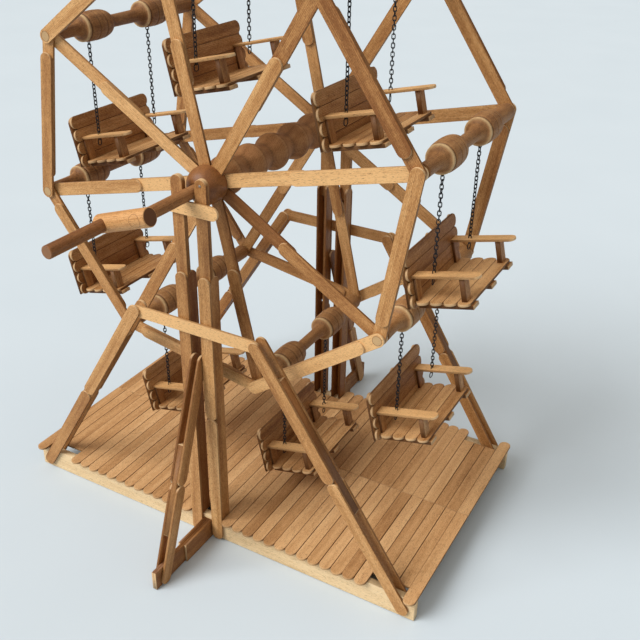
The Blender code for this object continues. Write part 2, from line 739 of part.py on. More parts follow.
def seat():
    """The bench: slatted seat and back, upright battens, cross battens, armrests and posts.

    It is built level with x forwards, y across and z up from the top of the armrests where
    the chains pass, and then tipped back.
    """
    rear = -ARMREST_BEHIND_CHAIN
    seat_top = -STICK_THICK - SEAT_DROP
    seat_bottom = seat_top - STICK_THICK
    slat_places = [(i + 0.5) * STICK_WIDTH for i in range(SEAT_SLATS)]
    ends = [(SEAT_HALF_LENGTH, True)] * SEAT_SLATS
    starts = [(-SEAT_HALF_LENGTH, True)] * SEAT_SLATS
    bottom = planks(slat_places, starts, ends)
    bottom.transform(Matrix.Translation((rear, 0, seat_bottom)))
    ends = [(BACK_HALF_LENGTH, True)] * SEAT_SLATS
    starts = [(-BACK_HALF_LENGTH, True)] * SEAT_SLATS
    back = planks(slat_places, starts, ends)
    back = placed(back, (rear + GLUE - STICK_THICK, 0, BACK_RISE), -Z, Y)
    pieces = [bottom, back]
    uprights_x = rear - STICK_THICK - STICK_THICK / 2 + 2 * GLUE
    outer_y = BACK_HALF_LENGTH - HALF_STICK
    low = BACK_RISE - SEAT_DEPTH + UPRIGHT_LIFT
    high = BACK_RISE - UPRIGHT_TOP_DROP
    for y in (-outer_y, 0, outer_y):
        pieces.append(stick((uprights_x, y, low), Z, Y, high - low, width=STICK_WIDTH - LAYER_TRIM,
                            round_start=False))
    front = rear + SEAT_DEPTH + CROSS_BATTEN_PROUD
    half = HALF_STICK - LAYER_TRIM
    for y in (-ARMREST_Y, 0, ARMREST_Y):
        pieces.append(bar((rear + STICK_THICK, y - half, seat_bottom + GLUE - CROSS_BATTEN_THICK),
                          (front, y + half, seat_bottom + GLUE)))
    post_x, post_y = FRONT_POST
    post_front = rear + SEAT_DEPTH - FRONT_POST_SETBACK
    hole_x = -STICK_THICK / 2 * math.tan(SEAT_TILT)
    holes = []
    for side in (-1, 1):
        y = side * ARMREST_Y
        pieces.append(stick((rear - GLUE, y, -STICK_THICK / 2), X, Y, ARMREST_LENGTH,
                            width=ARMREST_WIDTH, round_start=False))
        pieces.append(bar((post_front - post_x, y - post_y / 2, seat_top - GLUE),
                          (post_front, y + post_y / 2, -STICK_THICK + GLUE)))
        pieces.append(bar((rear - GLUE, y - post_y / 2, seat_top - GLUE),
                          (rear + STICK_THICK, y + post_y / 2, -STICK_THICK + GLUE)))
        holes.append(drill((hole_x, side * CHAIN_Y, 0), Z, CHAIN_HOLE_RADIUS, SEAT_DROP,
                           CHAIN_HOLE_STEPS))
    bench = combined(pieces, holes)
    tipped = Matrix.Rotation(-SEAT_TILT, 4, "Y")
    bench.transform(Matrix.Translation((0, BENCH_SHIFT, -ARMREST_DROP)) @ tipped)
    return bench


# Assembly

def build_frame(materials):
    """The deck and the two towers, which stand still."""
    deck = rear_deck_row()
    make_object("deck_rear", deck, materials["deck_wood"])
    make_object("deck_front", mirrored(deck), materials["deck_wood"])
    batten_y = (BATTEN_FACE + BATTEN_BACK) / 2
    battens = (("front", -batten_y, BATTEN_INSET), ("middle", 0, MIDDLE_BATTEN_INSET),
               ("rear", batten_y, BATTEN_INSET))
    for name, y, inset in battens:
        make_object("batten_" + name, batten(y, inset), materials["pale_wood"])
    tower = {
        "leg_{}_left": (rear_leg(-1), "stick_wood"),
        "leg_{}_right": (rear_leg(1), "stick_wood"),
        "cross_bar_{}": (rear_cross_bar(), "pale_wood"),
        "bearing_{}": (rear_bearing(), "pale_wood"),
        "brace_{}_left": (rear_brace(-1), "stick_wood"),
        "brace_{}_right": (rear_brace(1), "stick_wood"),
        "prop_{}": (rear_prop(), "stick_wood"),
        "foot_bar_{}": (rear_foot_bar(), "stick_wood"),
    }
    for pattern, (mesh, wood) in tower.items():
        make_object(pattern.format("rear"), mesh, materials[wood])
        make_object(pattern.format("front"), mirrored(mesh), materials[wood])


def build_wheel(materials):
    """The wheel and its crank, on one pivot at the hub."""
    pivot = make_empty("wheel_pivot", (0, 0, HUB_HEIGHT), -WHEEL_TURN)
    rim = front_rim()
    spokes = front_hub_and_spokes()
    make_object("rim_front", rim, materials["stick_wood"], pivot)
    make_object("rim_rear", mirrored(rim), materials["stick_wood"], pivot)
    make_object("hub_spokes_front", spokes, materials["stick_wood"], pivot)
    make_object("hub_spokes_rear", mirrored(spokes), materials["stick_wood"], pivot)
    make_object("axle", turned(axle_profile(), AXLE_STEPS), materials["hub_wood"], pivot)
    make_object("crank_arm", crank_arm(), materials["hub_wood"], pivot)
    make_object("crank_handle", crank_handle(), materials["turned_wood"], pivot)


def build_gondolas(materials):
    """Eight benches, each hung from its own rim spindle."""
    spindle = turned(spindle_profile(), SPINDLE_STEPS)
    chains = {"front": chain(-1), "rear": chain(1)}
    bench = seat()
    turn = Matrix.Rotation(-WHEEL_TURN, 3, "Y")
    for k in range(CORNERS):
        place = turn @ corner(k) + Z * HUB_HEIGHT
        pivot = make_empty(f"gondola_pivot_{k + 1}", place)
        make_object(f"spindle_{k + 1}", spindle, materials["turned_wood"], pivot)
        for side, mesh in chains.items():
            make_object(f"chain_{k + 1}_{side}", mesh, materials["chain_metal"], pivot)
        make_object(f"seat_{k + 1}", bench, materials["stick_wood"], pivot)


def main():
    for item in list(bpy.data.objects):
        bpy.data.objects.remove(item)
    materials = make_materials()
    build_frame(materials)
    build_wheel(materials)
    build_gondolas(materials)


main()
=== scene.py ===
"""Looks of the hand-cranked ferris wheel: craft sticks, turned spindles and fine chain.

Every stick, turned part and chain link is its own solid inside the piece that stands for
a node of the fixed frame. X runs along the deck, Y away from the crank and Z up, in metres.
"""
import math
import random

import bpy
import numpy as np
from mathutils import Matrix, Vector


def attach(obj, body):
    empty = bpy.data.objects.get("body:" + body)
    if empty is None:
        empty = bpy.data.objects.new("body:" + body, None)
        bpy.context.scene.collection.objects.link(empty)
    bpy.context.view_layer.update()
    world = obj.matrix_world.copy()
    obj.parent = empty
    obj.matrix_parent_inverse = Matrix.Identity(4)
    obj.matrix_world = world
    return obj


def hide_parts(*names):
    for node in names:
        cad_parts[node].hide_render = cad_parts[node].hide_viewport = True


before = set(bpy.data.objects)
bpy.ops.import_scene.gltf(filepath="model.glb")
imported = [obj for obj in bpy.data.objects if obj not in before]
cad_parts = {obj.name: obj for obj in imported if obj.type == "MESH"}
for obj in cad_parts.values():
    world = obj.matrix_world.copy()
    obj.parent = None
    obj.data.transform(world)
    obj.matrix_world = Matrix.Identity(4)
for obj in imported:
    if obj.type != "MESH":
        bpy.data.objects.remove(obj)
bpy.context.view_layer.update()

# Craft stick; each edge level is (face, drop, inset) with drop and inset in edge widths
STICK_LENGTH = 0.114
STICK_WIDTH = 0.0103
STICK_THICK = 0.002
HALF_STICK = STICK_WIDTH / 2
STICK_EDGE = 0.00028
EDGE_LEVELS = ((-1, 0, 1.0), (-1, 0.3, 0.3), (-1, 1, 0.0), (1, 1, 0.0), (1, 0.3, 0.3), (1, 0, 1.0))
GAP = 0.0003
NARROWER = 0.0002
CORE_WIDTH = 0.0096

# Points round a stick's tip, each turned part, a dowel's seam and a chain link
TIP_STEPS = 12
NAIL_STEPS = 20
HUB_STEPS = 64
AXLE_STEPS = 56
CRANK_STEPS = 48
HANDLE_STEPS = 40
SPINDLE_STEPS = 48
SEAM_STEPS = 32
LINK_STEPS = 16

# How far hand-laid sticks stray, and how much they lean for it in radians per metre
WANDER = 0.00012
LEAN_PER_WANDER = 12
BATTEN_WANDER = 0.00002
CHANNEL_WANDER = 0.00005
LEG_TOP_WANDER = 0.00006
CROSS_BAR_WANDER = 0.00006
BEARING_WANDER = 0.00005
FOOT_BAR_WANDER = 0.00003
SLAT_WANDER = 0.00002

# Deck and battens; SIDE_STICKS lie on each side of the three sticks that end behind the legs
SIDE_STICKS = 17
FIRST_NOTCHED_STICK = 14
LAST_NOTCHED_STICK = 16
SEAM = 0.00022
TIP_JITTER = 0.0004
LIFT_JITTER = 0.0001
BATTEN_THICK = 0.006
BATTEN_HEIGHT = 0.020
BATTEN_EDGE = 0.0005
BATTEN_INSET = 0.001
BATTEN_SETBACK = 0.0065
MIDDLE_BATTEN_INSET = 0.014
DECK_HALF_WIDTH = (SIDE_STICKS + 1.5) * STICK_WIDTH
DECK_TIP_Y = STICK_LENGTH + GAP / 2
DECK_BOTTOM = BATTEN_HEIGHT + GAP
BATTEN_FACE = DECK_TIP_Y - BATTEN_SETBACK
BATTEN_BACK = BATTEN_FACE - BATTEN_THICK

# Towers; each nail point is (place, radius, painted shading)
HUB_HEIGHT = 0.3059857
LEG_BACK = BATTEN_FACE + GAP
LEG_FACE = LEG_BACK + STICK_THICK
LEG_SPACING = 0.0199
LEG_JOINT_HEIGHT = 0.1225
LEG_STEP_HEIGHT = 0.245
LEG_TOP_RISE = 0.012
LEG_TOP = HUB_HEIGHT + LEG_TOP_RISE
LEG_LAP = 0.012
CHANNEL_DEPTH = 0.010
CHANNEL_INSET = 0.0001
NAIL_DROP = 0.0045
NAIL_HEAD = ((-0.0005, 0.0009, 0), (0.0003, 0.0009, 0), (0.0004, 0.0006, 0))
CROSS_BAR_HEIGHT = 0.2025
CROSS_BAR_BACK = LEG_FACE + GAP
CROSS_BAR_FACE = CROSS_BAR_BACK + STICK_THICK
BEARING_ENDS = (-0.020, 0.025)
BRACE_TOP_RISE = 0.0045
BRACE_TOP = (STICK_LENGTH / 2 - HALF_STICK, CROSS_BAR_HEIGHT + BRACE_TOP_RISE)
BRACE_FOOT = (0.1825, 0.004)
BRACE_CORE = (0.38, 0.86)
BRACE_CLEARANCE = 0.0009
PROP_FOOT_Y = 0.172
PROP_TOP = (0.107, 0.178)
PROP_CORE = (0.22, 0.62)
PROP_JOINT = 0.44
FOOT_BAR_HEIGHT = 0.017
FOOT_BAR_REACH = 0.0725
FOOT_BAR_THICK = 0.004
FOOT_CHEEK_LENGTH = 0.036

# Wheel; each bead point is (share of its length, share of its swell, painted shading), with painted shade
# above 0 and a painted highlight below 0; arcs are in degrees
WHEEL_TURN = math.radians(13)
CORNERS = 8
RIM_RADIUS = 0.161
RIM_FACE = 0.0866
RIM_SETBACK = 0.012
SWAPPED_SIDE = 1
RIM_FRONT_MID = RIM_FACE - STICK_THICK / 2
RIM_BACK_MID = RIM_FRONT_MID - STICK_THICK
SPOKE_OUTER_MID = RIM_BACK_MID - STICK_THICK - GAP
SPOKE_INNER_MID = SPOKE_OUTER_MID - STICK_THICK
SPOKE_RAISED_MID = SPOKE_OUTER_MID + STICK_THICK
RAISED_SPOKES = (5, 6, 7)
SPOKE_BACK = SPOKE_INNER_MID - STICK_THICK / 2
SPOKE_OVERLAP_START = 0.066
SPOKE_INNER_ENDS = (0.080, 0.080, 0.080, 0.080, 0.080, 0.107, 0.098, 0.109)
SPOKE_START = 0.0122
SHOULDER = SPOKE_BACK - GAP
# Painted shade in the creases at the shoulders, the bead waists and the hub's foot
SHOULDER_SHADE = 0.6
HUB_RADIUS = 0.014
HUB_LENGTH = 0.020
HUB_FOOT_RADIUS = 0.0132
HUB_FOOT_SHADE = 0.3
HUB_NECK_LENGTH = 0.002
HUB_NECK_RADIUS = 0.0137
HUB_SWELL = 0.35
HUB_FULLNESS = 0.8
HUB_ARC = range(0, 81, 10)
HUB_MOUTH = 0.0008
DOWEL_RADIUS = 0.0045
DOWEL_EDGE = 0.0006
EDGE_BEND = 0.0002
AXLE_REAR_REACH = 0.004
AXLE_BEADS = 5
BEAD_RADIUS = 0.0146
WAIST_RADIUS = 0.0100
BEAD_SHAPE = ((0.05, 0.05, 0.3), (0.14, 0.24, 0), (0.26, 0.62, 0), (0.37, 0.93, 0), (0.45, 1.0, -0.4),
              (0.50, 0.99, 0.5), (0.54, 0.93, 0), (0.68, 0.60, 0), (0.82, 0.22, 0), (0.93, 0.05, 0.2))
CRANK_DISTANCE = 0.158
CRANK_RADIUS = 0.0065
CRANK_LEFT = 0.0395
CRANK_LEFT_ROUND = 0.0035
CRANK_FULLNESS = 0.9
CRANK_ARC = range(84, -1, -12)
CRANK_RIGHT = 0.0085
CRANK_RIGHT_EDGE = 0.0007
# Painted shade on the arm's right edge, the side turned away from the light
CRANK_RIGHT_SHADE = 0.2
CRANK_TURN = math.radians(5)
CRANK_THROW = 0.030
HANDLE_LENGTH = 0.048
HANDLE_DEPTH = 0.0095

# Spindles; each barrel point is (place behind the mouth's edge, radius, painted shading), with painted
# shade in the grooves above 0 and a painted highlight round the mouth below 0
TENON_RADIUS = 0.0036
TENON_PROUD = 0.0001
COVERED_PIN = 0
NECK_RADIUS = 0.0048
NECK_FLARE = 0.0003
# Painted shade at the spindle's necks, where they meet the rim
NECK_SHADE = 0.4
REAR_NECK_RADIUS = 0.0066
REAR_NECK_SHADE = 0.3
BARREL_LINE = ((-0.0120, 0.0049, 0), (-0.0060, 0.0051, 0), (-0.0030, 0.0059, 0), (-0.0013, 0.0070, 0.4),
               (-0.0004, 0.0084, -0.1), (0, 0.0097, -0.8), (0.0004, 0.0101, -1.0), (0.0018, 0.0102, -0.4),
               (0.0025, 0.0098, 0.7), (0.0032, 0.0097, 1.0), (0.0038, 0.0104, 0), (0.0050, 0.0107, 0),
               (0.0090, 0.0109, 0), (0.0108, 0.0109, 0), (0.0115, 0.0104, 1.0), (0.0122, 0.0109, 0),
               (0.0150, 0.0110, 0), (0.0188, 0.0108, 0), (0.0195, 0.0103, 1.0), (0.0202, 0.0107, 0),
               (0.0240, 0.0102, 0), (0.0270, 0.0093, 0), (0.0295, 0.0079, 0), (0.0311, 0.0062, 0.2))
BARREL_RADIUS = 0.0110
BARREL_LENGTH = 0.0320
BARREL_END_FLARE = 0.0004
NECK_START = 0.0350
MOUTH_BEFORE_CHAIN = 0.008

# Chains; the twists are in radians
CHAIN_Y = 0.0345
CHAIN_BITE = 0.0012
LINK_PITCH = 0.00306
LINK_HALF_WIDTH = 0.00158
WIRE_RADIUS = 0.00040
TWIST_DRIFT = 0.05
LINK_TWIST = 0.12
LOOP_TWIST = 0.2
LOOP_REACH = 0.002
LOOP_DROP = 0.0022
LOOP_HALF_HEIGHT = 0.0027
LOOP_HALF_WIDTH = 0.0021

# Benches
BENCH_SHIFT = -0.009
ARMREST_DROP = 0.083
SEAT_TILT = math.radians(13.5)
ARMREST_LENGTH = 0.049
ARMREST_WIDTH = 0.010
ARMREST_Y = 0.036
ARMREST_BEHIND_CHAIN = 0.0142
SEAT_SLATS = 4
SEAT_HALF_LENGTH = 0.044
BACK_HALF_LENGTH = 0.0465
SLAT_EDGE = 0.0004
SLAT_JITTER = 0.0005
SEAT_DROP = 0.017
BACK_RISE = 0.0172
UPRIGHT_TOP_DROP = 0.0005
UPRIGHT_FOOT = 0.001
CROSS_BATTEN_THICK = 0.003
CROSS_BATTEN_OVERHANG = 0.0015
POST_WIDTH = 0.008
FRONT_POST_THICK = 0.004
FRONT_POST_SETBACK = 0.003

# Tones, which move a piece's wood towards dark below 0 and towards light above it
TONE_SPREAD = 0.5
DECK_SPREAD = 0.8
SPINDLE_SPREAD = 0.6
SLAT_SPREAD = 0.7
LEG_TONES = (0.1, -0.1)
# Painted shade: the channel sticks are darkened for the shade on the legs' sides, which face away from
# the light
CHANNEL_SHADE_TONE = -1.1
LEG_TOP_TONE = -0.3
BRACE_TONES = (0.0, -0.3)
# Painted shade: the cores of braces and props are darkened for the shade in the slot between the two
# layers
CORE_SHADE_TONE = -0.9
CROSS_BAR_TONES = {-1: 2.2, 1: 0.3}
BEARING_TONES = {-1: 2.6, 1: 1.0}
PROP_TONES = (-0.5, -0.7)
# Painted shade: the foot bars are darkened for the shade on their sides, which the pale floor's bounce
# would otherwise light
FOOT_BAR_SHADE_TONE = -0.9
SPOKE_TONES = ((2.0, 1.8), (-1.3, -0.6), (-0.6, -1.1), (0.3, -0.2), (1.6, 0.3), (0.5, 0.4),
               (0.0, -0.1), (-0.3, -0.5))
REAR_SPOKE_TONES = (0.0, 0.1)
RIM_TONES = (-0.3, 1.6, 0.0, 0.0, 0.0, 0.0, 0.0, -1.3)
RIM_BACK_TONE = -0.15
SEAT_TONE = 0.8
UPRIGHT_TONE = -0.3
ARMREST_TONE = 1.6

# Wood patterns, in changes per metre along, across and through the grain
BROAD_BANDS = (14, 190, 130)
GROWTH_LINES = (5, 330, 120)
FIBRES = (110, 2600, 2200)
STAINS = (170, 330, 330)
SPECKLES = (700, 1300, 1300)
FLECKS = (420, 3000, 2400)
END_SPECKLES = (2600, 2600, 2600)

# Wood in general; the ranges are those of a map range node, by its input numbers
LOG_SIZE = 9
TURNED_END = 0.0004
LEAST_RADIUS = 0.00001
NEARLY_ALONG = 0.9
SEAM_WIRE = 0.00014
RAMP_PLACES = (0.26, 0.47, 0.72)
BROAD_WEIGHT = 0.46
FIBRE_WEIGHT = 0.24
STAIN_WEIGHT = 0.16
SPECKLE_WEIGHT = 3
LINE_WEIGHT = 0.5
FLECK_RANGE = {1: 0.57, 2: 0.70, 3: 0.0, 4: 0.70}
END_RANGE = {1: 0.15, 2: 0.8, 3: 1.0, 4: 0.0}
# Strength of the painted shade in grooves and shoulders of turned parts
PAINTED_SHADE_WEIGHT = 0.6
BUMP_STRENGTH = 0.35
BUMP_DEPTH = 0.00025
WOOD_GLOSS = 0.28
COAT_ROUGHNESS = 0.35

# Shares of the wood's dark colour for flecks, for long edges (stained edges and painted shade in the
# seams) and for the painted shade in grooves
FLECK_SHARE = 0.35
EDGE_SHARE = 0.55
PAINTED_SHADE_SHARE = 0.3

# Metal
SMEAR_SCALE = 900.0
SMEAR_SHARES = (0.55, 1.5)
METALLIC = 0.85

# Stage; the camera's angles are (yaw, pitch, roll) in degrees, its sensor and lens in millimetres
FLOOR_HALF_SIZE = 14
FLOOR_HEIGHT = -0.0004
FLOOR_COLOURS = ((0.55, 0.64, 0.72, 1), (0.58, 0.67, 0.75, 1))
SKY_LEVELS = {"From Min": 0.2, "To Min": 0.13, "To Max": 0.90}
SKY_COLOUR = (1.0, 0.92, 0.82, 1)
BACKDROP_LEVEL = (0.80, 0.80, 0.80, 1)
BACKDROP_COLOUR = (0.92, 0.95, 1.0, 1)
SUN_STRENGTH = 3.2
SUN_SPREAD = math.radians(40)
SUN_COLOUR = (1.0, 0.975, 0.94)
SUN_DIRECTION = (-0.45, -0.60, 0.66)
CAMERA_PLACE = (0.34617, -0.54886, 0.51976)
CAMERA_ANGLES = (-28.796, 29.252, 1.055)
CAMERA_SENSOR = 36
CAMERA_LENS = 48.65
CAMERA_NEAR = 0.01

X = Vector((1, 0, 0))
Y = Vector((0, 1, 0))
Z = Vector((0, 0, 1))
STILL = Matrix.Identity(4)


# Pieces, built up from many small solids

class Shape:
    """One piece in the making: points, faces and the wood data at each point.

    grain is the place in the wood (along, across, through), look is (tone, edge, painted shading), with
    painted shade in grooves above 0 and a painted highlight below 0, and ends is the distance from both
    cut ends, in units of how far their end colour shows: pale end grain, and painted shade on the crank
    arm's end.
    """

    def __init__(self, seed):
        self.random = random.Random(seed)
        self.points = []
        self.faces = []
        self.smooth = []
        self.grain = []
        self.look = []
        self.ends = []
        self.slots = []

    def add(self, points, faces, smooth, grain, look, ends, place=STILL, slot=0):
        first = len(self.points)
        self.points += [place @ Vector(point) for point in points]
        self.faces += [[first + index for index in face] for face in faces]
        self.smooth += smooth
        self.grain += grain
        self.look += look
        self.ends += ends
        self.slots += [slot] * len(faces)

    def jitter(self, size):
        return self.random.uniform(-size, size)

    def place_in_log(self):
        """Where in the wood a stick or turned part is cut from, so that no two look alike."""
        return Vector([self.random.uniform(0, LOG_SIZE) for axis in range(3)])

    def finish(self, name, materials, body, slot, *nodes):
        """Makes the object, riding on its body and standing for its nodes."""
        mesh = bpy.data.meshes.new(name)
        mesh.from_pydata([tuple(point) for point in self.points], [], self.faces)
        mesh.polygons.foreach_set("use_smooth", self.smooth)
        for material in materials:
            mesh.materials.append(material)
        mesh.polygons.foreach_set("material_index", self.slots)
        for kind in ("grain", "look", "ends"):
            values = np.array(getattr(self, kind), np.float32).ravel()
            mesh.attributes.new(kind, "FLOAT_VECTOR", "POINT").data.foreach_set("vector", values)
        mesh.validate()
        item = bpy.data.objects.new(name, mesh)
        bpy.context.scene.collection.objects.link(item)
        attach(item, body)
        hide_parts(*nodes)


def outline(length, half, round_start, round_end, inset):
    """The edge of a stick along x, counter-clockwise, moved in by the inset."""
    inner = half - inset
    points = []
    for centre, is_round, first in ((length - half, round_end, -90), (half, round_start, 90)):
        if is_round:
            for step in range(TIP_STEPS + 1):
                angle = math.radians(first + 180 * step / TIP_STEPS)
                points.append((centre + inner * math.cos(angle), inner * math.sin(angle)))
        elif first < 0:
            points += [(length - inset, -inner), (length - inset, inner)]
        else:
            points += [(inset, inner), (inset, -inner)]
    return points


def board(shape, origin, along, across, length, width=STICK_WIDTH, thick=STICK_THICK,
          round_start=True, round_end=True, tone=0.0, spread=TONE_SPREAD, edge=STICK_EDGE,
          wander=WANDER, slot=0):
    """A stick or board that starts at origin, with its thickness centred on it."""
    along = Vector(along).normalized()
    square = along.cross(Vector(across)).normalized()
    across = square.cross(along)
    turn = Matrix((along, across, square)).transposed().to_4x4()
    shift = Vector((shape.jitter(wander), shape.jitter(wander), shape.jitter(wander / 2)))
    lean = Matrix.Rotation(shape.jitter(wander * LEAN_PER_WANDER), 4, "Z")
    place = Matrix.Translation(Vector(origin)) @ turn @ Matrix.Translation(shift) @ lean
    points, grain, look, ends = [], [], [], []
    offset = shape.place_in_log()
    tone += shape.jitter(spread)
    reach = [width / 2 if is_round else 2 * edge for is_round in (round_start, round_end)]
    for face, drop, inset in EDGE_LEVELS:
        height = face * (thick / 2 - drop * edge)
        for x, y in outline(length, width / 2, round_start, round_end, inset * edge):
            points.append((x, y, height))
            grain.append(tuple(offset + Vector((x, y, height))))
            look.append((tone, 0.0 if drop == 0 else 1.0, 0.0))
            ends.append((x / reach[0], (length - x) / reach[1], 0.0))
    count = len(points) // len(EDGE_LEVELS)
    faces = [list(range(count))[::-1]]
    smooth = [False]
    for level in range(len(EDGE_LEVELS) - 1):
        for index in range(count):
            after = (index + 1) % count
            low, high = level * count, (level + 1) * count
            faces.append([low + index, low + after, high + after, high + index])
            smooth.append(True)
    faces.append([(len(EDGE_LEVELS) - 1) * count + index for index in range(count)])
    smooth.append(False)
    shape.add(points, faces, smooth, grain, look, ends, place, slot)


def rounded(points, per=4):
    """A smooth line through (place, radius, painted shading) points; a point given twice stays sharp."""
    runs = [[points[0]]]
    for point in points[1:]:
        if point == runs[-1][-1]:
            runs.append([point])
        else:
            runs[-1].append(point)
    result = []
    for run in runs:
        knots = [np.array(point, float) for point in run]
        gaps = [np.hypot(*(after - before)[:2]) for before, after in zip(knots, knots[1:])]
        slopes = [(after - before) / gap for before, after, gap in zip(knots, knots[1:], gaps)]
        leans = slopes[:1]
        for one, two, before, after in zip(slopes, slopes[1:], gaps, gaps[1:]):
            leans.append((one * before + two * after) / (before + after))
        leans += slopes[-1:]
        line = []
        for index, gap in enumerate(gaps):
            start, end = knots[index], knots[index + 1]
            for step in range(per):
                t = step / per
                line.append((2 * t ** 3 - 3 * t ** 2 + 1) * start + (3 * t ** 2 - 2 * t ** 3) * end
                            + (t ** 3 - 2 * t ** 2 + t) * gap * leans[index]
                            + (t ** 3 - t ** 2) * gap * leans[index + 1])
        line.append(knots[-1])
        result.append(line)
    return result


def turned(shape, runs, place, steps, tone=0.0, slot=0):
    """A shape turned about Y from runs of (place along Y, radius, painted shading) points."""
    offset = shape.place_in_log()
    low, high = runs[0][0][0], runs[-1][-1][0]
    points, faces, smooth, grain, look, ends = [], [], [], [], [], []

    def ring(y, radius, painted_shading, cap):
        """Adds a ring of points and gives the number of its first one."""
        first = len(points)
        for step in range(steps):
            angle = math.tau * step / steps
            x, z = radius * math.cos(angle), radius * math.sin(angle)
            points.append((x, y, z))
            grain.append(tuple(offset + Vector((y, x, z))))
            look.append((tone, cap, painted_shading))
            ends.append(((y - low) / TURNED_END, (high - y) / TURNED_END, 0.0))
        return first

    for line in runs:
        rings = [ring(y, max(radius, LEAST_RADIUS), painted_shading, 0.0) for y, radius, painted_shading in line]
        for one, two in zip(rings, rings[1:]):
            for step in range(steps):
                after = (step + 1) % steps
                faces.append([one + step, two + step, two + after, one + after])
                smooth.append(True)
    for (y, radius, painted_shading), flip in ((runs[0][0], False), (runs[-1][-1], True)):
        first = ring(y, radius, painted_shading, 1.0)
        order = list(range(first, first + steps))
        faces.append(order[::-1] if flip else order)
        smooth.append(False)
    shape.add(points, faces, smooth, grain, look, ends, place, slot)


def wire(shape, path, radius, sides=8, slot=0):
    """A round wire along a closed path of points."""
    points, faces = [], []
    count = len(path)
    for index, point in enumerate(path):
        tangent = (path[(index + 1) % count] - path[index - 1]).normalized()
        side = tangent.cross(X if abs(tangent.y) >= NEARLY_ALONG else Y).normalized()
        up = side.cross(tangent)
        for step in range(sides):
            angle = math.tau * step / sides
            points.append(point + radius * (math.cos(angle) * side + math.sin(angle) * up))
    for index in range(count):
        one, two = index * sides, ((index + 1) % count) * sides
        for step in range(sides):
            after = (step + 1) % sides
            faces.append([one + step, one + after, two + after, two + step])
    plain = [(0.0, 0.0, 0.0)] * len(points)
    shape.add(points, faces, [True] * len(faces), [tuple(p) for p in points], plain, plain, slot=slot)


def ring_round(shape, place, radius, slot, over=0.0):
    """The fine dark seam round a dowel's end, on a flat face or over a round one of radius over."""
    seam = []
    for step in range(SEAM_STEPS):
        x, z = (radius * turn(math.tau * step / SEAM_STEPS) for turn in (math.cos, math.sin))
        sink = over - math.sqrt(over ** 2 - z * z) if over else 0
        seam.append(place @ Vector((x, sink, z)))
    wire(shape, seam, SEAM_WIRE, sides=6, slot=slot)


# Finishes

def add_node(tree, kind, inputs=(), **settings):
    """A new node with its settings, and its inputs given as values or as sockets to link."""
    made = tree.nodes.new(kind)
    for key, value in settings.items():
        setattr(made, key, value)
    for key, value in dict(inputs).items():
        if isinstance(value, bpy.types.NodeSocket):
            tree.links.new(value, made.inputs[key])
        else:
            made.inputs[key].default_value = value
    return made


def tree_of(name):
    """A new material with helpers that add nodes and sums to it and set its shader."""
    material = bpy.data.materials.new(name)
    material.use_nodes = True
    tree = material.node_tree

    def node(kind, inputs=(), **settings):
        return add_node(tree, kind, inputs, **settings)

    def sums(operation, one, two, clamp=False):
        return node("ShaderNodeMath", {0: one, 1: two}, operation=operation,
                    use_clamp=clamp).outputs[0]

    def shade(colour, roughness, normal=None, metallic=0.0, coat=0.0, gloss=0.5):
        shader = tree.nodes["Principled BSDF"]
        for key, value in (("Base Color", colour), ("Roughness", roughness), ("Normal", normal)):
            if isinstance(value, bpy.types.NodeSocket):
                tree.links.new(value, shader.inputs[key])
            elif value is not None:
                shader.inputs[key].default_value = value
        shader.inputs["Metallic"].default_value = metallic
        shader.inputs["Specular IOR Level"].default_value = gloss
        shader.inputs["Coat Weight"].default_value = coat
        shader.inputs["Coat Roughness"].default_value = COAT_ROUGHNESS

    return material, node, sums, shade


def scaled(colour, share):
    """A colour made darker or lighter, with its alpha."""
    return (*[channel * share for channel in colour], 1)


